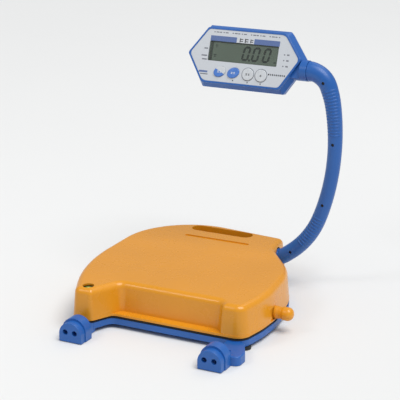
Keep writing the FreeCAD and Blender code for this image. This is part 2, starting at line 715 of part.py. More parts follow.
def cover_solid():
    """Outside of the cover's walls, filled."""
    return tapered(wall_outline(), RIM, COVER_TOP, WALL_DRAFT)


def wall_x_at(y, z):
    """X of the right wall's outside at a height."""
    probe = Part.makeLine(vec(0, y, z), vec(RIGHT_X + 20, y, z)).common(cover_solid())
    return probe.BoundBox.XMax


def knob_screw():
    start = wall_x_at(KNOB_Y, KNOB_Z)
    seat = start - COVER_WALL - KNOB_SEAT_GAP
    shank = bar_x(KNOB_SCREW_RADIUS - FIT_GAP, seat - 1, start + 11, KNOB_Y, KNOB_Z)
    return shank.fuse(bar_x(4.0, seat - 3, seat, KNOB_Y, KNOB_Z))


def arm_edges(offset=0.0):
    """Edges of the arm's centre line in its upright plane, moved inwards by an offset."""
    x, z, heading = BARREL_X, PIVOT_Z + offset, 0.0
    edges = []
    for index, (radius, sweep) in enumerate(ARM_BENDS):
        bend = radius - offset
        centre_x = x - bend * math.sin(heading)
        centre_z = z + bend * math.cos(heading)
        points = []
        for share in (0, 0.5, 1):
            angle = heading + math.radians(sweep) * share
            x, z = centre_x + bend * math.sin(angle), centre_z - bend * math.cos(angle)
            points.append(vec(x, PIVOT_Y, z))
        edges.append(Part.Arc(points[0], points[1], points[2]).toShape())
        heading += math.radians(sweep)
        x, z = points[2].x, points[2].z
        if index == 0:
            end = vec(x + ARM_STRAIGHT * math.cos(heading), PIVOT_Y, z + ARM_STRAIGHT * math.sin(heading))
            edges.append(Part.LineSegment(points[2], end).toShape())
            x, z = end.x, end.z
    return edges


def arm_station(share):
    """Point and direction of the centre line at a share of its length."""
    edges = arm_edges()
    left = share * sum(edge.Length for edge in edges)
    for edge in edges:
        if left <= edge.Length + 1e-6:
            break
        left -= edge.Length
    at = edge.getParameterByLength(min(left, edge.Length))
    return edge.valueAt(at), edge.tangentAt(at)


def tube_radius(share):
    """Outer radius of the tube at a share of its length, straight between the stations."""
    place = share * (len(TUBE_DIAMETERS) - 1)
    index = min(int(place), len(TUBE_DIAMETERS) - 2)
    low, high = TUBE_DIAMETERS[index], TUBE_DIAMETERS[index + 1]
    return (low + (high - low) * (place - index)) / 2


def arm_end():
    """Where the tube ends and the display's neck begins: the tilt axis passes through it."""
    return arm_edges()[-1].Vertexes[-1].Point


def ring(share, shrink):
    point, direction = arm_station(share)
    return Part.Wire(Part.makeCircle(tube_radius(share) - shrink, point, direction))


def tube_solid(first, last, shrink):
    """Tube between two shares of the length, thinned by an amount all round."""
    count = 4 * (len(TUBE_DIAMETERS) - 1)
    shares = [first + (last - first) * index / count for index in range(count + 1)]
    return Part.makeLoft([ring(share, shrink) for share in shares], True, False)


def cable_tube(radius, edges):
    """Round bar swept along tangent edges."""
    start = edges[0].Vertexes[0].Point
    along = edges[0].tangentAt(edges[0].FirstParameter)
    section = Part.Wire(Part.makeCircle(radius, start, along))
    return Part.Wire(edges).makePipeShell([section], True, False)


def cable_edges():
    """Cable route: through the pivot, then beside the arm's centre line up to the connector."""
    z = PIVOT_Z + CABLE_OFFSET
    lead = Part.LineSegment(vec(journal_end() - 2, PIVOT_Y, z), vec(BARREL_X, PIVOT_Y, z)).toShape()
    return [lead] + arm_edges(CABLE_OFFSET)[:-1]


def journal_end():
    return BARREL_X - JOURNAL_LENGTH - STUB_LENGTH


def tilt_place():
    """X of the parting line of the neck, X of the inner end of the tilt stub, and the axis height."""
    end = arm_end()
    return end.x, end.x - NECK_GAP - TILT_JOURNAL_LENGTH - STUB_LENGTH, end.z


def screw_sites():
    """Point, front surface Y and tube radius at each arm screw."""
    sites = []
    for share in ARM_SCREW_FRACTIONS:
        point = arm_station(share)[0]
        radius = tube_radius(share)
        sites.append((point, PIVOT_Y - radius, radius))
    return sites


def arm_half(side):
    """One hollow half shell of the arm with half of its journals; side is -1 in front, 1 behind."""
    low = PIVOT_Y if side > 0 else PIVOT_Y - 40
    span = box((0, low, 0), (300, low + 40, 600))
    tilt_x, tilt_end, tilt_z = tilt_place()
    journal_start = BARREL_X - JOURNAL_LENGTH
    tube = tube_solid(0.0, 1.0, 0.0).common(span)
    half = tube.cut(tube_solid(0.06, 0.95, ARM_WALL))
    for point, front, radius in screw_sites():
        end = front + ARM_SCREW_RECESS + 2
        seat = bar_y(ARM_SCREW_HEAD_RADIUS + 1.4, point.x, front - 1, end, point.z)
        column = bar_y(ARM_BOSS_RADIUS, point.x, front, front + 2 * radius, point.z)
        half = half.fuse(seat.fuse(column).common(tube))
    journals = [
        bar_x(JOURNAL_RADIUS, journal_start, BARREL_X + JOURNAL_ROOT, PIVOT_Y, PIVOT_Z),
        bar_x(STUB_RADIUS, journal_end(), journal_start, PIVOT_Y, PIVOT_Z),
        bar_x(TILT_JOURNAL_RADIUS, tilt_end + STUB_LENGTH, tilt_x + JOURNAL_ROOT, PIVOT_Y, tilt_z),
        bar_x(TILT_STUB_RADIUS, tilt_end, tilt_end + STUB_LENGTH, PIVOT_Y, tilt_z),
    ]
    for journal in journals:
        half = half.fuse(journal.common(span))
    z = PIVOT_Z + CABLE_OFFSET
    entry = Part.LineSegment(vec(journal_end() - 1, PIVOT_Y, z), vec(BARREL_X, PIVOT_Y, z)).toShape()
    half = half.cut(cable_tube(CABLE_BORE_RADIUS, [entry] + arm_edges(CABLE_OFFSET)[:2]))
    run = Part.LineSegment(vec(tilt_x, PIVOT_Y, tilt_z), vec(tilt_end - 1, PIVOT_Y, tilt_z)).toShape()
    half = half.cut(cable_tube(CABLE_BORE_RADIUS, [arm_edges()[-1], run]))
    for point, front, radius in screw_sites():
        recess, end = front + ARM_SCREW_RECESS, PIVOT_Y + radius - ARM_WALL
        half = half.cut(bar_y(ARM_SCREW_HEAD_RADIUS + 0.2, point.x, front - 2, recess, point.z))
        half = half.cut(bar_y(ARM_SCREW_RADIUS + FIT_GAP, point.x, front, end, point.z))
    return half


def arm_screws():
    screws = []
    for point, front, radius in screw_sites():
        seat = front + ARM_SCREW_RECESS
        head = bar_y(ARM_SCREW_HEAD_RADIUS, point.x, seat - ARM_SCREW_HEAD, seat, point.z)
        shank = bar_y(ARM_SCREW_RADIUS, point.x, seat, PIVOT_Y + radius - ARM_WALL - 0.5, point.z)
        cross = box((point.x - 1.3, seat - 2, point.z - 0.3), (point.x + 1.3, seat - 1, point.z + 0.3))
        upright = box((point.x - 0.3, seat - 2, point.z - 1.3), (point.x + 0.3, seat - 1, point.z + 1.3))
        cross = cross.fuse(upright)
        screws.append(head.cut(cross).fuse(shank))
    return Part.makeCompound(screws)


def display_lead():
    """Short cable from the connector through the tilt joint into the display."""
    tilt_x, tilt_end, tilt_z = tilt_place()
    bend = arm_edges()[-1]
    low, high = bend.ParameterRange
    start = low + (high - low) * 0.45
    arc = Part.Arc(bend.valueAt(start), bend.valueAt((start + high) / 2), bend.valueAt(high)).toShape()
    run = Part.LineSegment(vec(tilt_x, PIVOT_Y, tilt_z), vec(tilt_end - 3, PIVOT_Y, tilt_z)).toShape()
    return cable_tube(LEAD_RADIUS, [arc, run])


def bush(inner, wall, start, end, y, z):
    return bar_x(inner + wall, start, end, y, z).cut(bar_x(inner, start - 1, end + 1, y, z))


def hinge_bracket():
    """Pillow block on the tray floor that carries the arm's pivot bush."""
    start = bush_start()
    end = start + BRACKET_LENGTH
    floor = TRAY_BOTTOM + TRAY_WALL
    block = bar_x(BRACKET_RADIUS, start, end, PIVOT_Y, PIVOT_Z)
    front, back = PIVOT_Y - BRACKET_RADIUS, PIVOT_Y + BRACKET_RADIUS
    block = block.fuse(box((start, front, floor), (end, back, PIVOT_Z)))
    flange = box((start, front - 9, floor), (end, back + 9, floor + 5))
    block = block.fuse(flange).removeSplitter()
    for place in bracket_screw_places():
        block = block.cut(post(place, 2.0, floor - 1, floor + 6))
    window = box((start - 1, PIVOT_Y - 8, floor + 6), (end + 1, PIVOT_Y + 8, PIVOT_Z - BRACKET_RADIUS - 2))
    bore = JOURNAL_RADIUS + RUN_CLEARANCE + BUSH_WALL
    return block.cut(window).cut(bar_x(bore, start - 1, end + 1, PIVOT_Y, PIVOT_Z))


def bush_start():
    return BARREL_X - JOURNAL_LENGTH + WASHER_THICK


def bracket_screw_places():
    x = bush_start() + BRACKET_LENGTH / 2
    reach = BRACKET_RADIUS + 4.5
    return [(x, PIVOT_Y - reach), (x, PIVOT_Y + reach)]


def bracket_screws():
    floor = TRAY_BOTTOM + TRAY_WALL
    return Part.makeCompound([
        post(place, 1.95, floor, floor + 5).fuse(post(place, 3.6, floor + 5, floor + 7.5))
        for place in bracket_screw_places()])


def hinge_bush():
    start = bush_start()
    end = start + BRACKET_LENGTH
    return bush(JOURNAL_RADIUS + RUN_CLEARANCE, BUSH_WALL, start, end, PIVOT_Y, PIVOT_Z)


def pivot_nut():
    start = BARREL_X - JOURNAL_LENGTH - NUT_LENGTH
    return bush(STUB_RADIUS, NUT_RADIUS - STUB_RADIUS, start, start + NUT_LENGTH, PIVOT_Y, PIVOT_Z)


def friction_washer():
    """Spring washer that gives the arm its holding friction."""
    start = BARREL_X - JOURNAL_LENGTH + 0.05
    return bush(JOURNAL_RADIUS + 0.1, 2.6, start, start + WASHER_THICK - 0.1, PIVOT_Y, PIVOT_Z)


def tilt_nut():
    tilt_x, tilt_end, tilt_z = tilt_place()
    start = tilt_end + STUB_LENGTH - NUT_LENGTH
    return bush(TILT_STUB_RADIUS, 2.6, start, start + NUT_LENGTH, PIVOT_Y, tilt_z)


def tilt_bush():
    """Bush in the display's neck, in upright frame coordinates."""
    tilt_x, tilt_end, tilt_z = tilt_place()
    start = tilt_end + STUB_LENGTH + 0.3
    end = tilt_x - NECK_GAP
    return bush(TILT_JOURNAL_RADIUS + RUN_CLEARANCE, TILT_BUSH_WALL, start, end, PIVOT_Y, tilt_z)


def on_display(shape):
    """Carry a shape from plate coordinates (X right, Y up the plate, Z towards the viewer) into place."""
    shape = shape.copy()
    shape.rotate(vec(0, 0, 0), vec(1, 0, 0), 90 - DISPLAY_TILT)
    shape.translate(vec(DISPLAY_X, PIVOT_Y, tilt_place()[2]))
    return shape


def display_outline():
    """Long hexagon of the face plate, counter-clockwise."""
    tip, shoulder, half = DISPLAY_LENGTH / 2, DISPLAY_TOP_LENGTH / 2, DISPLAY_HEIGHT / 2
    y = DISPLAY_RAISE
    return [
        (-shoulder, y - half, WIDE_CORNER_ROUND),
        (shoulder, y - half, CORNER_ROUND),
        (tip, y + RIGHT_TIP_RISE, CORNER_ROUND),
        (shoulder, y + half, WIDE_CORNER_ROUND),
        (-shoulder, y + half, CORNER_ROUND),
        (-tip, y + LEFT_TIP_RISE, CORNER_ROUND),
    ]


def joint_plane():
    return FACE_FORWARD - BEZEL_DEPTH


def flared(outline, depth):
    """Body that widens behind the bezel and then closes in to a bevelled rear."""
    front = tapered(outline, 0, FLARE_DEPTH, -HOUSING_FLARE)
    flared_outline = inset(outline, -HOUSING_FLARE)
    return front.fuse(bevelled(flared_outline, FLARE_DEPTH, depth, HOUSING_DRAFT, HOUSING_BEVEL))


def neck_solid(radius):
    """Neck of the display housing, flattened where it passes behind the bezel."""
    tip = DISPLAY_LENGTH / 2 + HOUSING_RIM
    end = tilt_place()[0] - NECK_GAP - DISPLAY_X
    neck = bar_x(radius, tip - 16, end, 0, 0)
    return neck.cut(box((0, -40, joint_plane()), (tip, 40, 40)))


def display_housing():
    """Rear shell of the display with its neck; open at the joint with the bezel."""
    outline = inset(display_outline(), -HOUSING_RIM)
    rear = FACE_FORWARD - HOUSING_DEPTH
    flipped = [(-x, y, r) for x, y, r in outline[::-1]]
    depth = joint_plane() - rear
    shell = flared(flipped, depth)
    hollow = flared(inset(flipped, HOUSING_WALL), depth - HOUSING_WALL)
    for half in (shell, hollow):
        half.rotate(vec(0, 0, 0), vec(0, 1, 0), 180)
        half.translate(vec(0, 0, joint_plane()))
    tilt_x, tilt_end, tilt_z = tilt_place()
    collar = neck_solid(TILT_JOURNAL_RADIUS + TILT_BUSH_WALL + 1.5)
    shell = shell.fuse(neck_solid(NECK_RADIUS)).cut(hollow.cut(collar))
    bore = TILT_JOURNAL_RADIUS + RUN_CLEARANCE + TILT_BUSH_WALL
    shell = shell.cut(bar_x(bore, tilt_end + STUB_LENGTH - DISPLAY_X, tilt_x + 1 - DISPLAY_X, 0, 0))
    start, end = tilt_end - DISPLAY_X - 6, tilt_end + STUB_LENGTH + 0.3 - DISPLAY_X
    shell = shell.cut(bar_x(STUB_RADIUS + STUB_GAP, start, end, 0, 0))
    for x, y in housing_screw_places():
        boss = post((x, y), 3.4, rear + 1, joint_plane())
        shell = shell.fuse(boss).cut(post((x, y), 1.6, rear - 1, joint_plane() + 1))
        shell = shell.cut(post((x, y), 3.0, rear - 1, rear + 3))
    return shell


def housing_screw_places():
    x, y = DISPLAY_TOP_LENGTH / 2 - 2, DISPLAY_HEIGHT / 2 - 7
    return [(sx * x, DISPLAY_RAISE + sy * y) for sx in (-1, 1) for sy in (-1, 1)]


def housing_screws():
    rear = FACE_FORWARD - HOUSING_DEPTH
    screws = []
    for place in housing_screw_places():
        head = post(place, 2.7, rear + 1, rear + 3)
        screws.append(head.fuse(post(place, 1.5, rear + 3, FACE_FORWARD - PLATE_THICK - 1.5)))
    return Part.makeCompound(screws)


def display_bezel():
    """Front frame of the display with a shallow seat for the face plate."""
    outline = inset(display_outline(), -HOUSING_RIM)
    frame = prism(outline, joint_plane(), FACE_FORWARD + 0.4)
    frame = round_top(frame, FACE_FORWARD + 0.4, 1.2)
    frame = frame.cut(prism(display_outline(), FACE_FORWARD - PLATE_THICK, FACE_FORWARD + 2))
    inner = inset(display_outline(), 4.0)
    frame = frame.cut(prism(inner, joint_plane() - 1, FACE_FORWARD))
    for place in housing_screw_places():
        boss = post(place, 3.4, joint_plane(), FACE_FORWARD - PLATE_THICK)
        frame = frame.fuse(boss)
        frame = frame.cut(post(place, 1.5 + FIT_GAP, joint_plane() - 1, FACE_FORWARD - PLATE_THICK - 1))
    return frame


def face_plate():
    plate = prism(inset(display_outline(), PLATE_CLEARANCE), FACE_FORWARD - PLATE_THICK, FACE_FORWARD)
    lcd = (LCD_CENTRE[0], DISPLAY_RAISE + LCD_CENTRE[1])
    plate = plate.cut(prism(rectangle(lcd, LCD_SIZE, 1.5), joint_plane(), FACE_FORWARD + 1))
    for index in range(len(KEY_CENTRES)):
        plate = plate.cut(key_shape(index, KEY_GAP, joint_plane(), FACE_FORWARD + 1))
    return plate


def key_shape(index, grow, bottom, top):
    centre = (KEY_CENTRES[index], DISPLAY_RAISE - KEY_DROP)
    if index >= OVAL_KEYS:
        return post(centre, KEY_RADIUS + grow, bottom, top)
    size = (OVAL_KEY_SIZE[0] + 2 * grow, OVAL_KEY_SIZE[1] + 2 * grow)
    oval = Part.Ellipse(vec(0, 0, bottom), size[0] / 2, size[1] / 2)
    solid = Part.Face(Part.Wire(oval.toShape())).extrude(vec(0, 0, top - bottom))
    solid.rotate(vec(0, 0, 0), vec(0, 0, 1), OVAL_KEY_TURN)
    solid.translate(vec(centre[0], centre[1], 0))
    return solid


def key(index):
    """Push key with a rounded top that stands a little proud of the plate."""
    top = FACE_FORWARD + KEY_PROUD
    cap = key_shape(index, 0, FACE_FORWARD - PLATE_THICK - 0.6, top)
    return round_top(cap, top, KEY_PROUD * 0.6)


def key_floor():
    return FACE_FORWARD - PLATE_THICK - 0.6 - KEY_TRAVEL - 0.2


def lcd_window():
    centre = (LCD_CENTRE[0], DISPLAY_RAISE + LCD_CENTRE[1])
    size = (LCD_SIZE[0] - 0.4, LCD_SIZE[1] - 0.4)
    top = FACE_FORWARD - 0.3
    return prism(rectangle(centre, size, 1.3), top - WINDOW_THICK, top)


def lcd_module():
    centre = (LCD_CENTRE[0], DISPLAY_RAISE + LCD_CENTRE[1])
    top = FACE_FORWARD - 0.3 - WINDOW_THICK
    return prism(rectangle(centre, (LCD_SIZE[0] + 4 - 5, LCD_SIZE[1] - 1), 1.0), top - LCD_THICK, top)


def display_board():
    """Circuit board behind the display module and under the keys."""
    centre = (LCD_CENTRE[0], DISPLAY_RAISE - 2)
    top = FACE_FORWARD - 0.3 - WINDOW_THICK - LCD_THICK - 0.2
    return prism(rectangle(centre, BOARD_SIZE, 2.0), top - BOARD_THICK, top)


def key_pads():
    """Rubber domes between the keys and the board."""
    board_top = FACE_FORWARD - 0.3 - WINDOW_THICK - LCD_THICK - 0.2
    places = [(x, DISPLAY_RAISE - KEY_DROP) for x in KEY_CENTRES]
    return Part.makeCompound([post(p, 5.0, board_top, key_floor()) for p in places])


def cell_cable():
    """Lead from the weighing cell to the pivot, held flat along its route."""
    z = CELL_BOTTOM + CELL_HEIGHT / 2
    y = CELL_WIDTH / 2
    x = -CELL_LENGTH / 2 + 25
    height = PIVOT_Z + CABLE_OFFSET
    stops = [(x, y, z), (x, y + 40, z), (x + 40, y + 78, z), (x + 78, y + 108, height - 6),
             (journal_end() - 16, PIVOT_Y, height), (journal_end() - 2.5, PIVOT_Y, height)]
    return rounded_run(CABLE_RADIUS, [vec(a, b, c) for a, b, c in stops])


def rounded_run(radius, points):
    """Tube along straight runs joined by tangent arcs as large as the shorter run allows."""
    edges = []
    start = points[0]
    for before, corner, after in zip(points, points[1:], points[2:]):
        arriving, leaving = (corner - before), (after - corner)
        trim = 0.45 * min(arriving.Length, leaving.Length)
        arriving.normalize()
        leaving.normalize()
        turn = arriving.getAngle(leaving)
        bend = trim / math.tan(turn / 2)
        inward = (leaving - arriving)
        inward.normalize()
        first, last = corner - arriving * trim, corner + leaving * trim
        middle = corner + inward * (bend / math.cos(turn / 2) - bend)
        edges.append(Part.LineSegment(start, first).toShape())
        edges.append(Part.Arc(first, middle, last).toShape())
        start = last
    edges.append(Part.LineSegment(start, points[-1]).toShape())
    return cable_tube(radius, edges)


def main():
    cover = platform_cover()
    floor = TRAY_BOTTOM + TRAY_WALL
    cell_top = CELL_BOTTOM + CELL_HEIGHT
    save("base_tray", base_tray())
    save("dust_seal", dust_seal())
    for side, centre in BLOCK_CENTRES.items():
        save("foot_cap_" + side, foot_cap(centre))
    save("foot_cap_screws", foot_cap_screws())
    for place, centre in FEET.items():
        save("foot_pad_" + place, levelling_pad(centre))
        save("foot_stud_" + place, levelling_stud(centre))
    save("level_vial", level_vial())
    save("level_lens", level_lens())
    save("load_cell", load_cell())
    save("cell_lower_spacer", cell_spacer(-1, floor, CELL_BOTTOM))
    save("cell_lower_screws", cell_lower_screws())
    save("cell_upper_spacer", cell_spacer(1, cell_top + CELL_FLEX_GAP, SPIDER_BOTTOM))
    save("spider_plate", spider_plate())
    save("support_pads", support_pads())
    save("overload_stops", overload_stops())
    save("battery_box", battery_box())
    save("battery_cells", battery_cells())
    save("battery_contacts", battery_contacts())
    save("battery_door", battery_door())
    save("platform_cover", cover)
    save("arm_rest_knob", arm_rest_knob())
    save("knob_screw", knob_screw())
    save("hinge_bracket", hinge_bracket())
    save("bracket_screws", bracket_screws())
    save("hinge_bush", hinge_bush())
    save("friction_washer", friction_washer())
    save("cell_cable", cell_cable())
    save("arm_front_shell", arm_half(-1))
    save("arm_rear_shell", arm_half(1))
    save("arm_screws", arm_screws())
    save("arm_cable", cable_tube(CABLE_RADIUS, cable_edges()))
    save("display_lead", display_lead())
    save("pivot_nut", pivot_nut())
    save("tilt_nut", tilt_nut())
    save("tilt_bush", tilt_bush())
    save("display_housing", on_display(display_housing()))
    save("display_bezel", on_display(display_bezel()))
    save("face_plate", on_display(face_plate()))
    save("lcd_window", on_display(lcd_window()))
    save("lcd_module", on_display(lcd_module()))
    save("display_board", on_display(display_board()))
    save("key_pads", on_display(key_pads()))
    save("housing_screws", on_display(housing_screws()))
    for index in range(len(KEY_CENTRES)):
        save("key_" + str(index + 1), on_display(key(index)))
    print("tilt axis", arm_end())


main()
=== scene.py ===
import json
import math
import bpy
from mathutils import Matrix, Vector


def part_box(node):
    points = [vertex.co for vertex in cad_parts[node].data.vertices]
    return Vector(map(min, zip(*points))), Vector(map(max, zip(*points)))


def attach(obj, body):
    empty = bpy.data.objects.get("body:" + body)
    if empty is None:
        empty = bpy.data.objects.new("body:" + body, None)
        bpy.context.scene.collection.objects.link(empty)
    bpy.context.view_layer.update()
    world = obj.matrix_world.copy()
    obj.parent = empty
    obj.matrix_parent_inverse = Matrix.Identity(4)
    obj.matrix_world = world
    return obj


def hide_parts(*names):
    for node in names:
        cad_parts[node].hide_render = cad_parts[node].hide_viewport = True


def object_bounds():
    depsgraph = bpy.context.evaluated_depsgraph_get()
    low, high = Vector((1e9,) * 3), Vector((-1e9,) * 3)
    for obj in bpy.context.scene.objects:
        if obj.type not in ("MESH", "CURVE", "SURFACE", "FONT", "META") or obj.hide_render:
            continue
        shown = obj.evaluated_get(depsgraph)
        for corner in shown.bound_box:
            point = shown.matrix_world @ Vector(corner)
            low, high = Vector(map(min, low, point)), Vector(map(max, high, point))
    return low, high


bl_info = {
    "name": "Animal weighing scale",
    "version": (1, 0, 0),
    "blender": (4, 5, 0),
    "location": "View3D > Sidebar > Scale",
    "description": "Finishes, ribs, display figures and studio for a weighing scale",
    "category": "Mesh",
}

import bmesh
import bpy
from bpy.props import FloatProperty, FloatVectorProperty, IntProperty, PointerProperty
from mathutils import Matrix, Vector

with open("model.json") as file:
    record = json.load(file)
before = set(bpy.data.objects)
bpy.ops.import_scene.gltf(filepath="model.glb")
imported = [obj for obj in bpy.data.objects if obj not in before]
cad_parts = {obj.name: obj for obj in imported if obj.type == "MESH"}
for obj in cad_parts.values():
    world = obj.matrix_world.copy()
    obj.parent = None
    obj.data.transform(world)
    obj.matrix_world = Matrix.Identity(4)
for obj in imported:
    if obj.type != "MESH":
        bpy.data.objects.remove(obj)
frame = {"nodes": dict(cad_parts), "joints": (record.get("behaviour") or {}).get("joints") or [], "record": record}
CAD_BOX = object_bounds()

MM = 0.001

# Centre line of the arm: bends of radius and sweep, with a straight run after the first.
ARM_BENDS = ((25.0, 37.4), (144.5, 32.2), (359.0, 29.3), (144.4, 13.6), (34.5, 67.5))
ARM_STRAIGHT = 13.0
# Shares of the arm's length at which its four screws sit, from the pivot up.
ARM_SCREWS = (0.0906, 0.3677, 0.6437, 0.912)
PLATE_LEAN = 20.0

# Studio: where the sun and the camera stand, in metres and degrees.
SUN_WAY = Vector((0.45, -0.15, 1.0))
CAMERA_PLACE = Vector((0.9086, -1.8246, 0.8160))
CAMERA_SIDE = 26.3
CAMERA_LIFT = 17.4
CAMERA_LENS = 126.0
CAMERA_SENSOR = 36.0
KEY_PLACES = ("key_1", "key_2", "key_3", "key_4")


# ---- sizes and colours that a user would change ----

def colour_property(name, description, default):
    return FloatVectorProperty(
        name=name, description=description, subtype="COLOR", size=3, min=0.0, max=1.0, default=default
    )


def length_property(name, description, default):
    return FloatProperty(name=name, description=description, unit="LENGTH", default=default, min=0.0)


class ScaleSizes(bpy.types.PropertyGroup):
    upper_ribs: IntProperty(name="Upper ribs", description="Ribs below the top screw", default=15, min=1)
    lower_ribs: IntProperty(name="Lower ribs", description="Ribs above the lowest screw", default=11, min=1)
    upper_pitch: length_property("Upper pitch", "Spacing of the upper ribs", 0.0050)
    lower_pitch: length_property("Lower pitch", "Spacing of the lower ribs", 0.0053)
    rib_width: length_property("Rib width", "Width of a rib along the arm", 0.0034)
    rib_height: length_property("Rib height", "How far a rib stands out in front", 0.0008)
    figure_height: length_property("Figure height", "Height of the display's figures", 0.0235)
    figure_width: length_property("Figure width", "Width of the display's figures", 0.0125)
    stroke: length_property("Stroke", "Width of one segment of a figure", 0.0034)
    slant: FloatProperty(name="Slant", description="Lean of the figures", subtype="ANGLE", default=0.17)
    ink: length_property("Ink", "How far print stands above its surface", 0.00006)
    bubble: length_property("Bubble", "Radius of the bubble in the level", 0.0021)
    floor: length_property("Floor", "Side of the studio floor", 8.0)


class ScaleColours(bpy.types.PropertyGroup):
    cover: colour_property("Cover", "Moulded weighing cover", (0.74, 0.30, 0.012))
    body: colour_property("Body", "Tray, arm, foot caps and display shell", (0.015, 0.115, 0.42))
    plate: colour_property("Plate", "Face plate of the display", (0.60, 0.63, 0.67))
    print_blue: colour_property("Blue print", "Bars on the face plate", (0.10, 0.16, 0.36))
    print_dark: colour_property("Dark print", "Small marks on the face plate", (0.035, 0.037, 0.042))
    print_grey: colour_property("Grey print", "Fine rows and key outlines", (0.16, 0.17, 0.20))
    liquid_crystal: colour_property("Liquid crystal", "Ground of the display", (0.125, 0.165, 0.125))
    figure: colour_property("Figure", "Segments of the display", (0.018, 0.024, 0.021))
    key_blue: colour_property("Blue key", "The two oval keys", (0.07, 0.20, 0.60))
    key_white: colour_property("White key", "The two round keys", (0.62, 0.65, 0.68))
    floor: colour_property("Floor", "Studio floor", (0.80, 0.80, 0.79))


def sizes():
    return bpy.context.scene.scale_sizes


def colours():
    return bpy.context.scene.scale_colours


# ---- finishes ----

class Finish:
    """A material on one principled shader, with layers read from the piece's own coordinates."""

    def __init__(self, name, roughness=0.4, metallic=0.0, ior=1.5, coat=0.0, coat_roughness=0.1):
        self.material = bpy.data.materials.new(name)
        self.material.use_nodes = True
        self.tree = self.material.node_tree
        self.shader = self.tree.nodes["Principled BSDF"]
        self.set("Roughness", roughness)
        self.set("Metallic", metallic)
        self.set("IOR", ior)
        self.set("Coat Weight", coat)
        self.set("Coat Roughness", coat_roughness)
        self.place = self.tree.nodes.new("ShaderNodeTexCoord").outputs["Object"]

    def set(self, socket, value):
        self.shader.inputs[socket].default_value = value

    def link(self, start, end):
        self.tree.links.new(start, end)

    def mapped(self, stretch=(1, 1, 1), shift=(0, 0, 0), turn=(0, 0, 0)):
        """The piece's coordinates, turned, moved and stretched."""
        node = self.tree.nodes.new("ShaderNodeMapping")
        node.inputs["Scale"].default_value = stretch
        node.inputs["Location"].default_value = shift
        node.inputs["Rotation"].default_value = turn
        self.link(self.place, node.inputs["Vector"])
        return node.outputs["Vector"]

    def noise(self, scale, stretch=(1, 1, 1), detail=3.0, rough=0.55):
        node = self.tree.nodes.new("ShaderNodeTexNoise")
        node.inputs["Scale"].default_value = scale
        node.inputs["Detail"].default_value = detail
        node.inputs["Roughness"].default_value = rough
        self.link(self.mapped(stretch), node.inputs["Vector"])
        return node.outputs["Fac"]

    def cells(self, scale, stretch=(1, 1, 1)):
        node = self.tree.nodes.new("ShaderNodeTexVoronoi")
        node.inputs["Scale"].default_value = scale
        self.link(self.mapped(stretch), node.inputs["Vector"])
        return node.outputs["Distance"]

    def ramp(self, value, low, high, start=0.0, end=1.0):
        """Straight ramp of a value between two marks, held at both ends."""
        node = self.tree.nodes.new("ShaderNodeMapRange")
        for socket, number in (("From Min", low), ("From Max", high), ("To Min", start), ("To Max", end)):
            node.inputs[socket].default_value = number
        self.link(value, node.inputs["Value"])
        return node.outputs["Result"]

    def sum(self, first, second, kind="ADD"):
        node = self.tree.nodes.new("ShaderNodeMath")
        node.operation = kind
        for socket, value in zip(node.inputs, (first, second)):
            if isinstance(value, (int, float)):
                socket.default_value = value
            else:
                self.link(value, socket)
        return node.outputs["Value"]

    def axis(self, name, **mapping):
        node = self.tree.nodes.new("ShaderNodeSeparateXYZ")
        self.link(self.mapped(**mapping), node.inputs["Vector"])
        return node.outputs[name]

    def blend(self, share, first, second):
        """Colour that runs from the first to the second with a share."""
        node = self.tree.nodes.new("ShaderNodeMix")
        node.data_type = "RGBA"
        for socket, colour in ((node.inputs[6], first), (node.inputs[7], second)):
            if isinstance(colour, bpy.types.NodeSocket):
                self.link(colour, socket)
            else:
                socket.default_value = (*colour, 1.0)
        self.link(share, node.inputs[0])
        return node.outputs[2]

    def colour(self, output):
        self.link(output, self.shader.inputs["Base Color"])

    def roughness(self, output):
        self.link(output, self.shader.inputs["Roughness"])

    def bump(self, height, distance, strength=1.0):
        node = self.tree.nodes.new("ShaderNodeBump")
        node.inputs["Strength"].default_value = strength
        node.inputs["Distance"].default_value = distance
        self.link(height, node.inputs["Height"])
        self.link(node.outputs["Normal"], self.shader.inputs["Normal"])


def tinted(colour, factor):
    return tuple(min(channel * factor, 1.0) for channel in colour)


def moulded(name, colour, roughness, peel=0.00006, coat=0.0, scuff=0.12, variation=0.08):
    """Moulded plastic: faint flow shading, handling marks, fine scratches and surface texture."""
    finish = Finish(name, roughness, coat=coat, coat_roughness=0.08)
    flow = finish.noise(7.0, detail=2.0)
    dark, light = tinted(colour, 1 - variation), tinted(colour, 1 + variation)
    ground = finish.blend(finish.ramp(flow, 0.3, 0.7), dark, light)
    rubbed = finish.ramp(finish.noise(38.0, (1, 1, 2.2), detail=6.0, rough=0.7), 0.60, 0.76)
    grey = tuple(channel * 0.75 + 0.12 for channel in colour)
    ground = finish.blend(finish.sum(rubbed, scuff, "MULTIPLY"), ground, grey)
    finish.colour(ground)
    scratches = finish.ramp(finish.noise(90.0, (1.0, 14.0, 6.0), detail=2.0), 0.64, 0.74)
    marks = finish.sum(finish.sum(rubbed, 0.16, "MULTIPLY"), finish.sum(scratches, 0.10, "MULTIPLY"))
    mottle = finish.ramp(finish.noise(22.0, detail=4.0), 0.25, 0.75, roughness - 0.05, roughness + 0.06)
    finish.roughness(finish.sum(mottle, marks))
    grain = finish.sum(finish.noise(420.0, detail=2.0), finish.sum(finish.cells(900.0), 0.35, "MULTIPLY"))
    finish.bump(grain, peel, 0.25)
    return finish


def cover_finish():
    """Smooth orange moulding with a few light rub marks."""
    return moulded("orange_moulding", tuple(colours().cover), 0.27, peel=0.00004, coat=0.05,
                    scuff=0.03, variation=0.04)


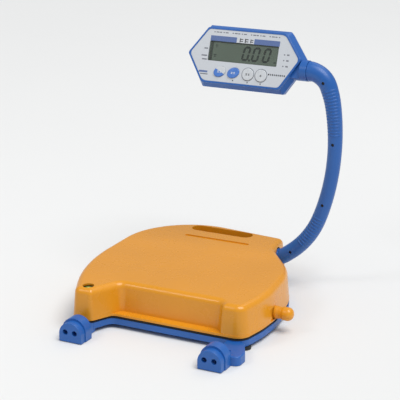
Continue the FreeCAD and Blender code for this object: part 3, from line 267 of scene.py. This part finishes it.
def arm_finish():
    """Blue moulding with the dark parting line of the arm's two halves."""
    finish = moulded("blue_arm_moulding", tuple(colours().body), 0.36, coat=0.05)
    middle = joint_place("arm_fold")[1]
    off = finish.axis("Y", shift=(0, -middle, 0))
    away = finish.ramp(finish.sum(off, 0.0, "ABSOLUTE"), 0.00010, 0.00030)
    base = finish.shader.inputs["Base Color"].links[0].from_socket
    finish.colour(finish.blend(away, tinted(tuple(colours().body), 0.25), base))
    return finish


def blue_finish():
    return moulded("blue_moulding", tuple(colours().body), 0.38, coat=0.05)


def plate_finish():
    """Printed film: very fine texture and a faint silvery grain."""
    finish = Finish("plate_film", 0.34, coat=0.15, coat_roughness=0.25)
    plate = tuple(colours().plate)
    grain = finish.ramp(finish.noise(1400.0, detail=1.0), 0.35, 0.65)
    finish.colour(finish.blend(grain, tinted(plate, 0.95), tinted(plate, 1.05)))
    finish.roughness(finish.ramp(finish.noise(60.0, detail=4.0), 0.3, 0.7, 0.28, 0.40))
    finish.bump(finish.noise(2200.0, detail=1.0), 0.00002, 0.5)
    return finish


def printed(name, colour):
    """Screen print: slightly uneven ink."""
    finish = Finish(name, 0.42)
    cover = finish.ramp(finish.noise(900.0, detail=2.0), 0.3, 0.7)
    finish.colour(finish.blend(cover, tinted(colour, 0.9), tinted(colour, 1.12)))
    finish.roughness(finish.ramp(finish.noise(300.0), 0.3, 0.7, 0.38, 0.48))
    return finish


def crystal_finish():
    """Reflective liquid crystal: fine dots and a soft fall of light across it."""
    finish = Finish("liquid_crystal", 0.45)
    ground = tuple(colours().liquid_crystal)
    soft = finish.ramp(finish.noise(18.0, detail=1.0), 0.3, 0.7)
    dots = finish.ramp(finish.cells(2600.0), 0.2, 0.6)
    shade = finish.sum(finish.sum(soft, 0.7, "MULTIPLY"), finish.sum(dots, 0.3, "MULTIPLY"))
    finish.colour(finish.blend(shade, tinted(ground, 0.93), tinted(ground, 1.08)))
    finish.roughness(finish.ramp(dots, 0.0, 1.0, 0.42, 0.5))
    return finish


def clear_finish(name, colour, alpha):
    """Clear plastic over something else."""
    finish = Finish(name, 0.06, ior=1.45)
    finish.set("Base Color", (*colour, 1.0))
    finish.set("Alpha", alpha)
    finish.roughness(finish.ramp(finish.noise(70.0, detail=5.0), 0.35, 0.75, 0.04, 0.14))
    finish.material.blend_method = "BLEND"
    return finish


def two_tone_key_finish():
    """Oval key whose upper right half is white."""
    finish = Finish("two_tone_key", 0.26, coat=0.3)
    low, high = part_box("key_1")
    centre = (low + high) / 2
    turn = math.radians(26.0)
    place = finish.mapped(shift=tuple(-value for value in centre))
    split = finish.tree.nodes.new("ShaderNodeSeparateXYZ")
    finish.link(place, split.inputs["Vector"])
    across = finish.sum(split.outputs["X"], math.sin(turn), "MULTIPLY")
    up = finish.sum(split.outputs["Z"], math.cos(turn), "MULTIPLY")
    side = finish.ramp(finish.sum(up, across, "ADD"), 0.0012, 0.0015)
    finish.colour(finish.blend(side, tuple(colours().key_blue), tuple(colours().key_white)))
    finish.roughness(finish.ramp(finish.noise(200.0), 0.3, 0.7, 0.22, 0.32))
    finish.bump(finish.noise(900.0), 0.00002, 0.4)
    return finish


def key_finish(name, colour):
    finish = Finish(name, 0.26, coat=0.3)
    wear = finish.ramp(finish.noise(260.0, detail=4.0), 0.35, 0.7)
    finish.colour(finish.blend(wear, tinted(colour, 0.94), tinted(colour, 1.06)))
    finish.roughness(finish.ramp(finish.noise(200.0), 0.3, 0.7, 0.22, 0.34))
    finish.bump(finish.noise(900.0), 0.00002, 0.4)
    return finish


def rubber_finish(name="black_rubber", pitch=0.0011):
    """Soft rubber with moulded rings and pale dust."""
    finish = Finish(name, 0.72)
    dust = finish.ramp(finish.noise(45.0, detail=6.0, rough=0.7), 0.5, 0.75)
    finish.colour(finish.blend(dust, (0.013, 0.013, 0.014), (0.045, 0.043, 0.040)))
    finish.roughness(finish.ramp(dust, 0.0, 1.0, 0.66, 0.85))
    height = finish.sum(finish.axis("Z"), 2 * math.pi / pitch, "MULTIPLY")
    rings = finish.sum(height, 0.0, "SINE")
    finish.bump(finish.sum(finish.sum(rings, 0.25, "MULTIPLY"), finish.noise(700.0)), 0.00012, 0.6)
    return finish


def foam_finish():
    finish = Finish("foam_seal", 0.9)
    pores = finish.ramp(finish.cells(1500.0), 0.1, 0.6)
    finish.colour(finish.blend(pores, (0.006, 0.006, 0.006), (0.022, 0.022, 0.023)))
    finish.bump(pores, 0.0002, 0.8)
    return finish


def metal_finish(name, colour, roughness, brush=(1.0, 26.0, 26.0)):
    """Worked metal: lines of the tool and small stains."""
    finish = Finish(name, roughness, metallic=1.0)
    lines = finish.noise(160.0, brush, detail=3.0)
    stains = finish.ramp(finish.noise(32.0, detail=5.0), 0.55, 0.8)
    ground = finish.blend(finish.ramp(lines, 0.3, 0.7), tinted(colour, 0.86), tinted(colour, 1.1))
    stain = finish.sum(stains, 0.35, "MULTIPLY")
    finish.colour(finish.blend(stain, ground, tinted(colour, 0.6)))
    finish.roughness(finish.ramp(lines, 0.3, 0.7, roughness - 0.06, roughness + 0.1))
    finish.bump(lines, 0.00003, 0.5)
    return finish


def board_finish():
    """Green solder mask with the copper tracks showing through."""
    finish = Finish("circuit_board", 0.35, coat=0.2)
    tracks = finish.ramp(finish.cells(180.0, (1, 0.35, 1)), 0.28, 0.31)
    finish.colour(finish.blend(tracks, (0.03, 0.16, 0.06), (0.012, 0.075, 0.028)))
    finish.bump(tracks, 0.00005, 0.5)
    return finish


def battery_finish():
    """Printed sleeve with a copper-coloured band at one end."""
    finish = Finish("battery_sleeve", 0.25, coat=0.5)
    low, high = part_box("battery_cells")
    mark = high.y - (high.y - low.y) * 0.28
    band = finish.ramp(finish.axis("Y"), mark, mark + 0.0004)
    smudge = finish.ramp(finish.noise(120.0, detail=5.0), 0.4, 0.7)
    sleeve = finish.blend(smudge, (0.022, 0.024, 0.03), (0.035, 0.037, 0.045))
    finish.colour(finish.blend(band, sleeve, (0.42, 0.22, 0.08)))
    finish.roughness(finish.ramp(smudge, 0.0, 1.0, 0.2, 0.34))
    return finish


# ---- pieces ----

def add(target, part, matrix):
    """Puts one bmesh into another at a place, and frees it."""
    bmesh.ops.transform(part, matrix=matrix, verts=part.verts)
    mesh = bpy.data.meshes.new("part")
    part.to_mesh(mesh)
    part.free()
    target.from_mesh(mesh)
    bpy.data.meshes.remove(mesh)


def shown(name, bm, body, finish, sharp=30.0):
    """Makes a riding piece of a bmesh, with smooth faces between sharp edges."""
    bmesh.ops.recalc_face_normals(bm, faces=bm.faces)
    mesh = bpy.data.meshes.new(name)
    bm.to_mesh(mesh)
    bm.free()
    piece = bpy.data.objects.new(name, mesh)
    bpy.context.scene.collection.objects.link(piece)
    mesh.materials.append(finish.material)
    mesh.polygons.foreach_set("use_smooth", [True] * len(mesh.polygons))
    mesh.set_sharp_from_angle(angle=math.radians(sharp))
    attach(piece, body)
    return piece


def bar(width, height, thick, corner=0.0, rounds=1):
    """Flat bar around the origin, from z 0 to its thickness, with cut or rounded corners."""
    bm = bmesh.new()
    bmesh.ops.create_grid(bm, x_segments=1, y_segments=1, size=0.5)
    bmesh.ops.scale(bm, vec=(width, height, 1.0), verts=bm.verts)
    if corner:
        bmesh.ops.bevel(bm, geom=bm.verts[:], offset=corner, offset_type="OFFSET", affect="VERTICES",
                        segments=rounds, profile=0.5, material=-1, clamp_overlap=True)
        bmesh.ops.remove_doubles(bm, verts=bm.verts, dist=1e-7)
    raised(bm, thick)
    return bm


def raised(bm, thick):
    """Gives the flat faces of a bmesh a thickness."""
    made = bmesh.ops.extrude_face_region(bm, geom=bm.faces[:])
    top = [item for item in made["geom"] if isinstance(item, bmesh.types.BMVert)]
    bmesh.ops.translate(bm, vec=(0, 0, thick), verts=top)


def hoop(radius, half_width, half_height, steps=56, sides=8):
    """Ring about the Z axis with an oval section."""
    bm = bmesh.new()
    bmesh.ops.create_circle(bm, cap_ends=False, segments=sides, radius=1.0)
    bmesh.ops.scale(bm, vec=(half_width, half_height, 1.0), verts=bm.verts)
    bmesh.ops.rotate(bm, cent=(0, 0, 0), matrix=Matrix.Rotation(math.pi / 2, 3, "X"), verts=bm.verts)
    bmesh.ops.translate(bm, vec=(radius, 0, 0), verts=bm.verts)
    bmesh.ops.spin(bm, geom=bm.verts[:] + bm.edges[:], cent=(0, 0, 0), axis=(0, 0, 1), dvec=(0, 0, 0),
                   angle=2 * math.pi, steps=steps, use_merge=True)
    bmesh.ops.remove_doubles(bm, verts=bm.verts, dist=1e-7)
    return bm


def joint_place(name):
    """Where a joint of the frame stands, in metres."""
    return next(joint for joint in frame["joints"] if joint["name"] == name)["pos_m"]


def arm_place(share):
    """Point and direction of the arm's centre line at a share of its length."""
    runs = [(radius, math.radians(sweep)) for radius, sweep in ARM_BENDS]
    runs.insert(1, (ARM_STRAIGHT, 0.0))
    left = share * sum(radius * sweep if sweep else radius for radius, sweep in runs) * MM
    point, heading = Vector(joint_place("arm_fold")), 0.0
    for radius, sweep in runs:
        length = (radius * sweep if sweep else radius) * MM
        walked = min(left, length)
        left -= walked
        if sweep:
            turn = walked / (radius * MM)
            middle = point + radius * MM * Vector((-math.sin(heading), 0, math.cos(heading)))
            heading += turn
            point = middle + radius * MM * Vector((math.sin(heading), 0, -math.cos(heading)))
        else:
            point = point + walked * Vector((math.cos(heading), 0, math.sin(heading)))
        if left <= 0:
            break
    return point, Vector((math.cos(heading), 0, math.sin(heading)))


def arm_length():
    return (sum(radius * math.radians(sweep) for radius, sweep in ARM_BENDS) + ARM_STRAIGHT) * MM


def tube_radius(point):
    """Radius of the arm at a point of its centre line, read from its front shell."""
    shell = frame["nodes"]["arm_front_shell"]
    found, nearest, _, _ = shell.closest_point_on_mesh(point + Vector((0, -0.03, 0)))
    if not found:
        raise RuntimeError("no arm surface in front of its centre line")
    return point.y - nearest.y


def plate_matrix():
    """From the display's plate coordinates, X right, Y up the plate, Z out, to the object's."""
    tilt = joint_place("display_tilt")
    low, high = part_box("face_plate")
    origin = Vector(((low.x + high.x) / 2, tilt[1], tilt[2]))
    return Matrix.Translation(origin) @ Matrix.Rotation(math.radians(90 - PLATE_LEAN), 4, "X")


def plate_box(node):
    """Lowest and highest corners of a display node in plate coordinates."""
    back = plate_matrix().inverted()
    points = [back @ vertex.co for vertex in frame["nodes"][node].data.vertices]
    low = Vector([min(point[axis] for point in points) for axis in range(3)])
    high = Vector([max(point[axis] for point in points) for axis in range(3)])
    return low, high


def on_plate(x, y, z, turn=0.0):
    """Matrix of a small part on the plate, placed in metres."""
    return plate_matrix() @ Matrix.Translation((x, y, z)) @ Matrix.Rotation(turn, 4, "Z")


def dress(node, finish):
    """Gives a CAD node its finish."""
    slots = frame["nodes"][node].material_slots
    if slots:
        for slot in slots:
            slot.material = finish.material
    else:
        frame["nodes"][node].data.materials.append(finish.material)


def dress_slot(slot, finish, *skipped):
    """Gives every CAD node of one material slot its finish."""
    for part in frame["record"]["subparts"]:
        if part["material_slot"] == slot and part["node"] not in skipped:
            dress(part["node"], finish)


# ---- operators ----

class WEIGHING_OT_stage(bpy.types.Operator):
    """Floor, soft studio lights and camera"""
    bl_idname = "weighing.stage"
    bl_label = "Studio"

    def execute(self, context):
        bm = bmesh.new()
        bmesh.ops.create_grid(bm, x_segments=1, y_segments=1, size=sizes().floor / 2)
        mesh = bpy.data.meshes.new("studio_floor")
        bm.to_mesh(mesh)
        bm.free()
        floor = bpy.data.objects.new("studio_floor", mesh)
        context.scene.collection.objects.link(floor)
        finish = Finish("studio_floor", 0.85)
        pale = tuple(colours().floor)
        finish.colour(finish.blend(finish.noise(1.5), tinted(pale, 0.985), tinted(pale, 1.01)))
        mesh.materials.append(finish.material)
        world = bpy.data.worlds.new("studio")
        world.use_nodes = True
        back = world.node_tree.nodes["Background"]
        back.inputs["Color"].default_value = (0.95, 0.97, 1.0, 1.0)
        back.inputs["Strength"].default_value = 0.42
        context.scene.world = world
        context.scene.view_settings.view_transform = "Standard"
        middle = (CAD_BOX[0] + CAD_BOX[1]) / 2
        sun = bpy.data.lights.new("key_light", "SUN")
        sun.energy, sun.angle = 2.2, 0.7
        lamp = bpy.data.objects.new("key_light", sun)
        lamp.location = middle + SUN_WAY
        lamp.rotation_euler = (-SUN_WAY).to_track_quat("-Z", "Y").to_euler()
        context.scene.collection.objects.link(lamp)
        lamps = (
            ("corner_light", (-0.9, -1.2, 1.4), 0.5, 5.0),
            ("back_light", (0.3, 1.5, 1.7), 1.0, 4.0),
        )
        for name, offset, side, power in lamps:
            data = bpy.data.lights.new(name, "AREA")
            data.shape, data.size, data.energy = "SQUARE", side, power
            lamp = bpy.data.objects.new(name, data)
            lamp.location = middle + Vector(offset)
            lamp.rotation_euler = (-Vector(offset)).to_track_quat("-Z", "Y").to_euler()
            context.scene.collection.objects.link(lamp)
        data = bpy.data.cameras.new("camera")
        data.sensor_width, data.lens, data.clip_end = CAMERA_SENSOR, CAMERA_LENS, 50.0
        camera = bpy.data.objects.new("camera", data)
        side, lift = math.radians(CAMERA_SIDE), math.radians(CAMERA_LIFT)
        back_way = Vector((math.sin(side) * math.cos(lift), -math.cos(side) * math.cos(lift), math.sin(lift)))
        camera.location = CAMERA_PLACE
        camera.rotation_mode = "QUATERNION"
        camera.rotation_quaternion = (-back_way).to_track_quat("-Z", "Y")
        context.scene.collection.objects.link(camera)
        context.scene.camera = camera
        return {"FINISHED"}


class WEIGHING_OT_finishes(bpy.types.Operator):
    """Finish of every CAD node"""
    bl_idname = "weighing.finishes"
    bl_label = "Finishes"

    def execute(self, context):
        blue = blue_finish()
        arm = arm_finish()
        rubber = rubber_finish()
        steel = metal_finish("zinc_steel", (0.56, 0.57, 0.59), 0.32)
        dress_slot("orange_plastic", cover_finish())
        dress_slot("blue_plastic", blue, "arm_front_shell", "arm_rear_shell")
        dress("arm_front_shell", arm)
        dress("arm_rear_shell", arm)
        dress_slot("plate_film", plate_finish())
        dress_slot("lcd_glass", clear_finish("window_clear", (0.8, 0.85, 0.85), 0.12))
        dress_slot("lcd_module", crystal_finish())
        dress_slot("circuit_board", board_finish())
        dress("key_1", two_tone_key_finish())
        dress("key_2", key_finish("blue_key", tuple(colours().key_blue)))
        dress_slot("key_white", key_finish("white_key", tuple(colours().key_white)))
        dress_slot("black_rubber", rubber, "dust_seal")
        dress("dust_seal", foam_finish())
        dress_slot("steel", steel, "arm_screws")
        # Arm screws coloured near black.
        dress("arm_screws", metal_finish("near_black_steel", (0.05, 0.05, 0.055), 0.45))
        dress_slot("aluminium", metal_finish("milled_aluminium", (0.75, 0.76, 0.78), 0.34))
        dress_slot("brass", metal_finish("turned_brass", (0.70, 0.50, 0.20), 0.26, (26.0, 2.0, 2.0)))
        dress_slot("bearing_plastic", moulded("natural_bearing", (0.70, 0.69, 0.64), 0.45, scuff=0.05))
        dress_slot("black_plastic", moulded("black_moulding", (0.016, 0.016, 0.018), 0.45, scuff=0.3))
        dress_slot("battery_sleeve", battery_finish())
        dress_slot("cable_sheath", moulded("cable_sheath", (0.025, 0.025, 0.027), 0.55, scuff=0.2))
        dress_slot("vial_liquid", clear_finish("vial_liquid", (0.42, 0.55, 0.08), 0.55))
        return {"FINISHED"}


class WEIGHING_OT_arm_ribs(bpy.types.Operator):
    """Grip ribs on the front of the arm, between its screws"""
    bl_idname = "weighing.arm_ribs"
    bl_label = "Arm ribs"

    def execute(self, context):
        bm = bmesh.new()
        size = sizes()
        bands = (
            (ARM_SCREWS[0], ARM_SCREWS[1], size.lower_ribs, size.lower_pitch),
            (ARM_SCREWS[2], ARM_SCREWS[3], size.upper_ribs, size.upper_pitch),
        )
        for low, high, count, pitch in bands:
            step = pitch / arm_length()
            for index in range(count):
                share = (low + high) / 2 + (index - (count - 1) / 2) * step
                point, along = arm_place(share)
                radius = tube_radius(point)
                rib = hoop(radius - size.rib_height, size.rib_height, size.rib_width / 2)
                turn = along.to_track_quat("Z", "Y").to_matrix().to_4x4()
                forward = Vector((0, -size.rib_height * 0.85, 0))
                add(bm, rib, Matrix.Translation(point + forward) @ turn)
        shown("arm_ribs", bm, "arm", blue_finish(), 60.0)
        return {"FINISHED"}


# ---- places of the print and the figures ----

# Marks between the two blue bars: X, width and height in metres.
LEGEND = ((-0.0075, 0.0068, 0.0064), (0.0015, 0.0070, 0.0068), (0.0105, 0.0060, 0.0060))
# Short rows left of the window: X, Y and width in metres.
SIDE_ROWS = ((-0.0665, 0.0185, 0.0064), (-0.0680, 0.0070, 0.0100), (-0.0670, 0.0010, 0.0085))
# Middles of the three figures, and the decimal point between the first two, along X.
FIGURE_CENTRES = (0.0032, 0.0200, 0.0385)
POINT_X = 0.0098
# Small marks beside the figures: X, Y from the middle, width and height in metres.
CRYSTAL_MARKS = (
    (-0.0490, 0.0095, 0.0042, 0.0016),
    (-0.0490, 0.0068, 0.0026, 0.0012),
    (-0.0500, -0.0060, 0.0050, 0.0014),
    (-0.0500, -0.0085, 0.0034, 0.0014),
    (0.0535, -0.0100, 0.0040, 0.0020),
)
# Rows right of the window: X and Y in metres.
RIGHT_ROWS = ((0.0685, 0.0195), (0.0685, 0.0105), (0.0685, 0.0015))
# Segments of a zero: side, rise, and whether it lies flat.
SEGMENTS = (
    (0.0, 1.0, True), (0.0, -1.0, True),
    (-1.0, 0.5, False), (1.0, 0.5, False), (-1.0, -0.5, False), (1.0, -0.5, False),
)


class WEIGHING_OT_figures(bpy.types.Operator):
    """Slanted figures and small marks of the liquid crystal, under its window"""
    bl_idname = "weighing.figures"
    bl_label = "Figures"

    def execute(self, context):
        size = sizes()
        low, high = plate_box("lcd_module")
        middle = (low.y + high.y) / 2
        bm = bmesh.new()
        for centre in FIGURE_CENTRES:
            self.zero(bm, centre, middle, high.z, size)
        dot = bar(size.stroke, size.stroke, size.ink, size.stroke * 0.2)
        add(bm, dot, on_plate(POINT_X, middle - size.figure_height / 2 + size.stroke / 2, high.z))
        for x, y, width, height in CRYSTAL_MARKS:
            add(bm, bar(width, height, size.ink), on_plate(x, middle + y, high.z))
        ink = printed("crystal_segment", tuple(colours().figure))
        shown("lcd_figures", bm, "display", ink)
        # Painted shadow: a dark strip along the crystal's left edge and a thin one along its top, darker than the
        # crystal where the window's frame casts shade.
        painted_shadow = bmesh.new()
        add(painted_shadow, bar(0.0048, high.y - low.y, size.ink / 2), on_plate(low.x + 0.0036, middle, high.z))
        shade = bar(high.x - low.x, 0.0016, size.ink / 2)
        add(painted_shadow, shade, on_plate((low.x + high.x) / 2, high.y - 0.001, high.z))
        dark = printed("crystal_painted_shadow", tinted(tuple(colours().liquid_crystal), 0.30))
        shown("lcd_painted_shadow", painted_shadow, "display", dark)
        self.window(size)
        return {"FINISHED"}

    def zero(self, bm, x, y, z, size):
        """Six segments of a figure, leaning to the right."""
        lean = Matrix.Identity(4)
        lean[0][1] = math.tan(size.slant)
        across, up = size.figure_width - size.stroke, size.figure_height - size.stroke
        for side, rise, flat in SEGMENTS:
            length = across if flat else up / 2
            segment = bar(length - 0.0003, size.stroke, size.ink, size.stroke * 0.49)
            turn = Matrix.Identity(4) if flat else Matrix.Rotation(math.pi / 2, 4, "Z")
            place = Matrix.Translation((side * across / 2, rise * up / 2, 0))
            add(bm, segment, on_plate(x, y, z) @ lean @ place @ turn)

    def window(self, size):
        """Clear window a hair above the figures, in place of the plain one."""
        low, high = plate_box("lcd_window")
        gap = size.ink * 2
        clear = bar(high.x - low.x, high.y - low.y, high.z - low.z - gap, 0.0013, 4)
        bm = bmesh.new()
        add(bm, clear, on_plate((low.x + high.x) / 2, (low.y + high.y) / 2, low.z + gap))
        window = shown("clear_window", bm, "display",
                       clear_finish("clear_window", (0.10, 0.12, 0.11), 0.10))
        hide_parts("lcd_window")


class WEIGHING_OT_plate_print(bpy.types.Operator):
    """Bars, outlines and small generic marks printed on the face plate"""
    bl_idname = "weighing.plate_print"
    bl_label = "Plate print"

    def execute(self, context):
        ink = sizes().ink
        _, top = plate_box("face_plate")
        low, high = plate_box("lcd_window")
        z = top.z - ink / 2
        blue, dark, grey = bmesh.new(), bmesh.new(), bmesh.new()
        rise = high.y + 0.0042
        for start, end in ((low.x, low.x + 0.0455), (high.x - 0.0430, high.x + 0.0008)):
            add(blue, bar(end - start, 0.0084, ink, 0.0006, 3), on_plate((start + end) / 2, rise, z))
        add(blue, bar(0.0150, 0.0030, ink), on_plate(-0.0660, -0.0185, z))
        for x, width, height in LEGEND:
            add(dark, bar(width * 0.25, height, ink), on_plate(x - width / 3, rise, z))
            for step in (0.3, -0.2):
                place = on_plate(x + width * 0.1, rise + height * step, z)
                add(dark, bar(width * 0.55, height * 0.22, ink), place)
        for index in range(22):
            width = 0.0022 + 0.0014 * ((index * 5) % 3)
            x = -0.0555 + index * 0.0053
            if index % 6 != 5:
                add(grey, bar(width, 0.0016, ink), on_plate(x, top.y - 0.0042, z))
        for x, y in RIGHT_ROWS:
            add(grey, bar(0.0022, 0.0018, ink), on_plate(x, y, z))
            add(grey, bar(0.0042, 0.0022, ink), on_plate(x + 0.0062, y, z))
        for x, y, width in SIDE_ROWS:
            add(grey, bar(width, 0.0020, ink), on_plate(x, y, z))
        add(grey, bar(0.0130, 0.0016, ink), on_plate(-0.0640, -0.0225, z))
        for index in range(9):
            x = 0.0470 + index * 0.0033
            add(dark, bar(0.0022 - 0.0006 * (index % 2), 0.0026, ink), on_plate(x, -0.0135, z))
        for name in KEY_PLACES[1:]:
            key_low, key_high = plate_box(name)
            x = (key_low.x + key_high.x) / 2
            add(dark, bar(0.0018, 0.0022, ink, 0.0005), on_plate(x + 0.0008, key_low.y - 0.0035, z))
        # Grey rings round the two white keys: painted shade of the gap round each key, drawn on the plate.
        for name in KEY_PLACES[2:]:
            key_low, key_high = plate_box(name)
            middle = (key_low + key_high) / 2
            ring = hoop((key_high.x - key_low.x) / 2 + 0.0008, 0.00035, ink / 2)
            add(grey, ring, on_plate(middle.x, middle.y, top.z))
        prints = (
            ("plate_blue_print", blue, "blue_print", colours().print_blue),
            ("plate_dark_print", dark, "dark_print", colours().print_dark),
            ("plate_grey_print", grey, "grey_print", colours().print_grey),
        )
        for name, marks, finish, colour in prints:
            shown(name, marks, "display", printed(finish, tuple(colour)))
        return {"FINISHED"}


class WEIGHING_OT_key_marks(bpy.types.Operator):
    """Small generic marks on the four keys"""
    bl_idname = "weighing.key_marks"
    bl_label = "Key marks"

    def execute(self, context):
        ink = sizes().ink
        light = printed("light_mark", (0.75, 0.78, 0.82))
        dark = printed("dark_mark", tuple(colours().print_dark))
        for index, name in enumerate(KEY_PLACES):
            low, high = plate_box(name)
            middle = (low + high) / 2
            z = high.z - ink / 2
            bm = bmesh.new()
            marks = ((-0.0020, 0.0030), (0.0022, 0.0026)) if index < 3 else ((0.0, 0.0030),)
            for offset, width in marks:
                for rise in (-0.0010, 0.0010):
                    place = on_plate(middle.x + offset, middle.y + rise - 0.0004, z)
                    add(bm, bar(width, 0.0008, ink), place)
                add(bm, bar(0.0008, 0.0030, ink), on_plate(middle.x + offset, middle.y - 0.0004, z))
            shown(name + "_mark", bm, name, light if index < 2 else dark)
        return {"FINISHED"}


class WEIGHING_OT_level(bpy.types.Operator):
    """Bubble and reference ring of the level"""
    bl_idname = "weighing.level"
    bl_label = "Level"

    def execute(self, context):
        low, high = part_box("level_lens")
        middle = (low + high) / 2
        bubble = bmesh.new()
        bmesh.ops.create_uvsphere(bubble, u_segments=24, v_segments=12, radius=sizes().bubble)
        bmesh.ops.scale(bubble, vec=(1, 1, 0.3), verts=bubble.verts)
        place = Vector((middle.x + 0.0006, middle.y - 0.0004, high.z))
        bmesh.ops.translate(bubble, vec=place, verts=bubble.verts)
        shown("level_bubble", bubble, "base", clear_finish("bubble", (0.75, 0.85, 0.45), 0.8))
        ring = bmesh.new()
        line = hoop(sizes().bubble * 1.5, 0.00018, 0.00008)
        add(ring, line, Matrix.Translation((middle.x, middle.y, high.z)))
        shown("level_ring", ring, "base", printed("level_ring", (0.01, 0.01, 0.01)))
        return {"FINISHED"}


class WEIGHING_PT_panel(bpy.types.Panel):
    """Steps that finish the weighing scale"""
    bl_idname = "WEIGHING_PT_panel"
    bl_label = "Weighing scale"
    bl_space_type = "VIEW_3D"
    bl_region_type = "UI"
    bl_category = "Scale"

    def draw(self, context):
        for operator in OPERATORS:
            self.layout.operator(operator.bl_idname)
        for group in (sizes(), colours()):
            for name in group.__annotations__:
                self.layout.prop(group, name)


OPERATORS = (
    WEIGHING_OT_stage,
    WEIGHING_OT_finishes,
    WEIGHING_OT_arm_ribs,
    WEIGHING_OT_figures,
    WEIGHING_OT_plate_print,
    WEIGHING_OT_key_marks,
    WEIGHING_OT_level,
)
CLASSES = (ScaleSizes, ScaleColours, *OPERATORS, WEIGHING_PT_panel)


def register():
    for item in CLASSES:
        bpy.utils.register_class(item)
    bpy.types.Scene.scale_sizes = PointerProperty(type=ScaleSizes)
    bpy.types.Scene.scale_colours = PointerProperty(type=ScaleColours)


def unregister():
    del bpy.types.Scene.scale_colours
    del bpy.types.Scene.scale_sizes
    for item in reversed(CLASSES):
        bpy.utils.unregister_class(item)


def main():
    register()
    for operator in OPERATORS:
        group, name = operator.bl_idname.split(".")
        getattr(getattr(bpy.ops, group), name)()
    bpy.context.view_layer.update()


if __name__ == "__main__":
    main()
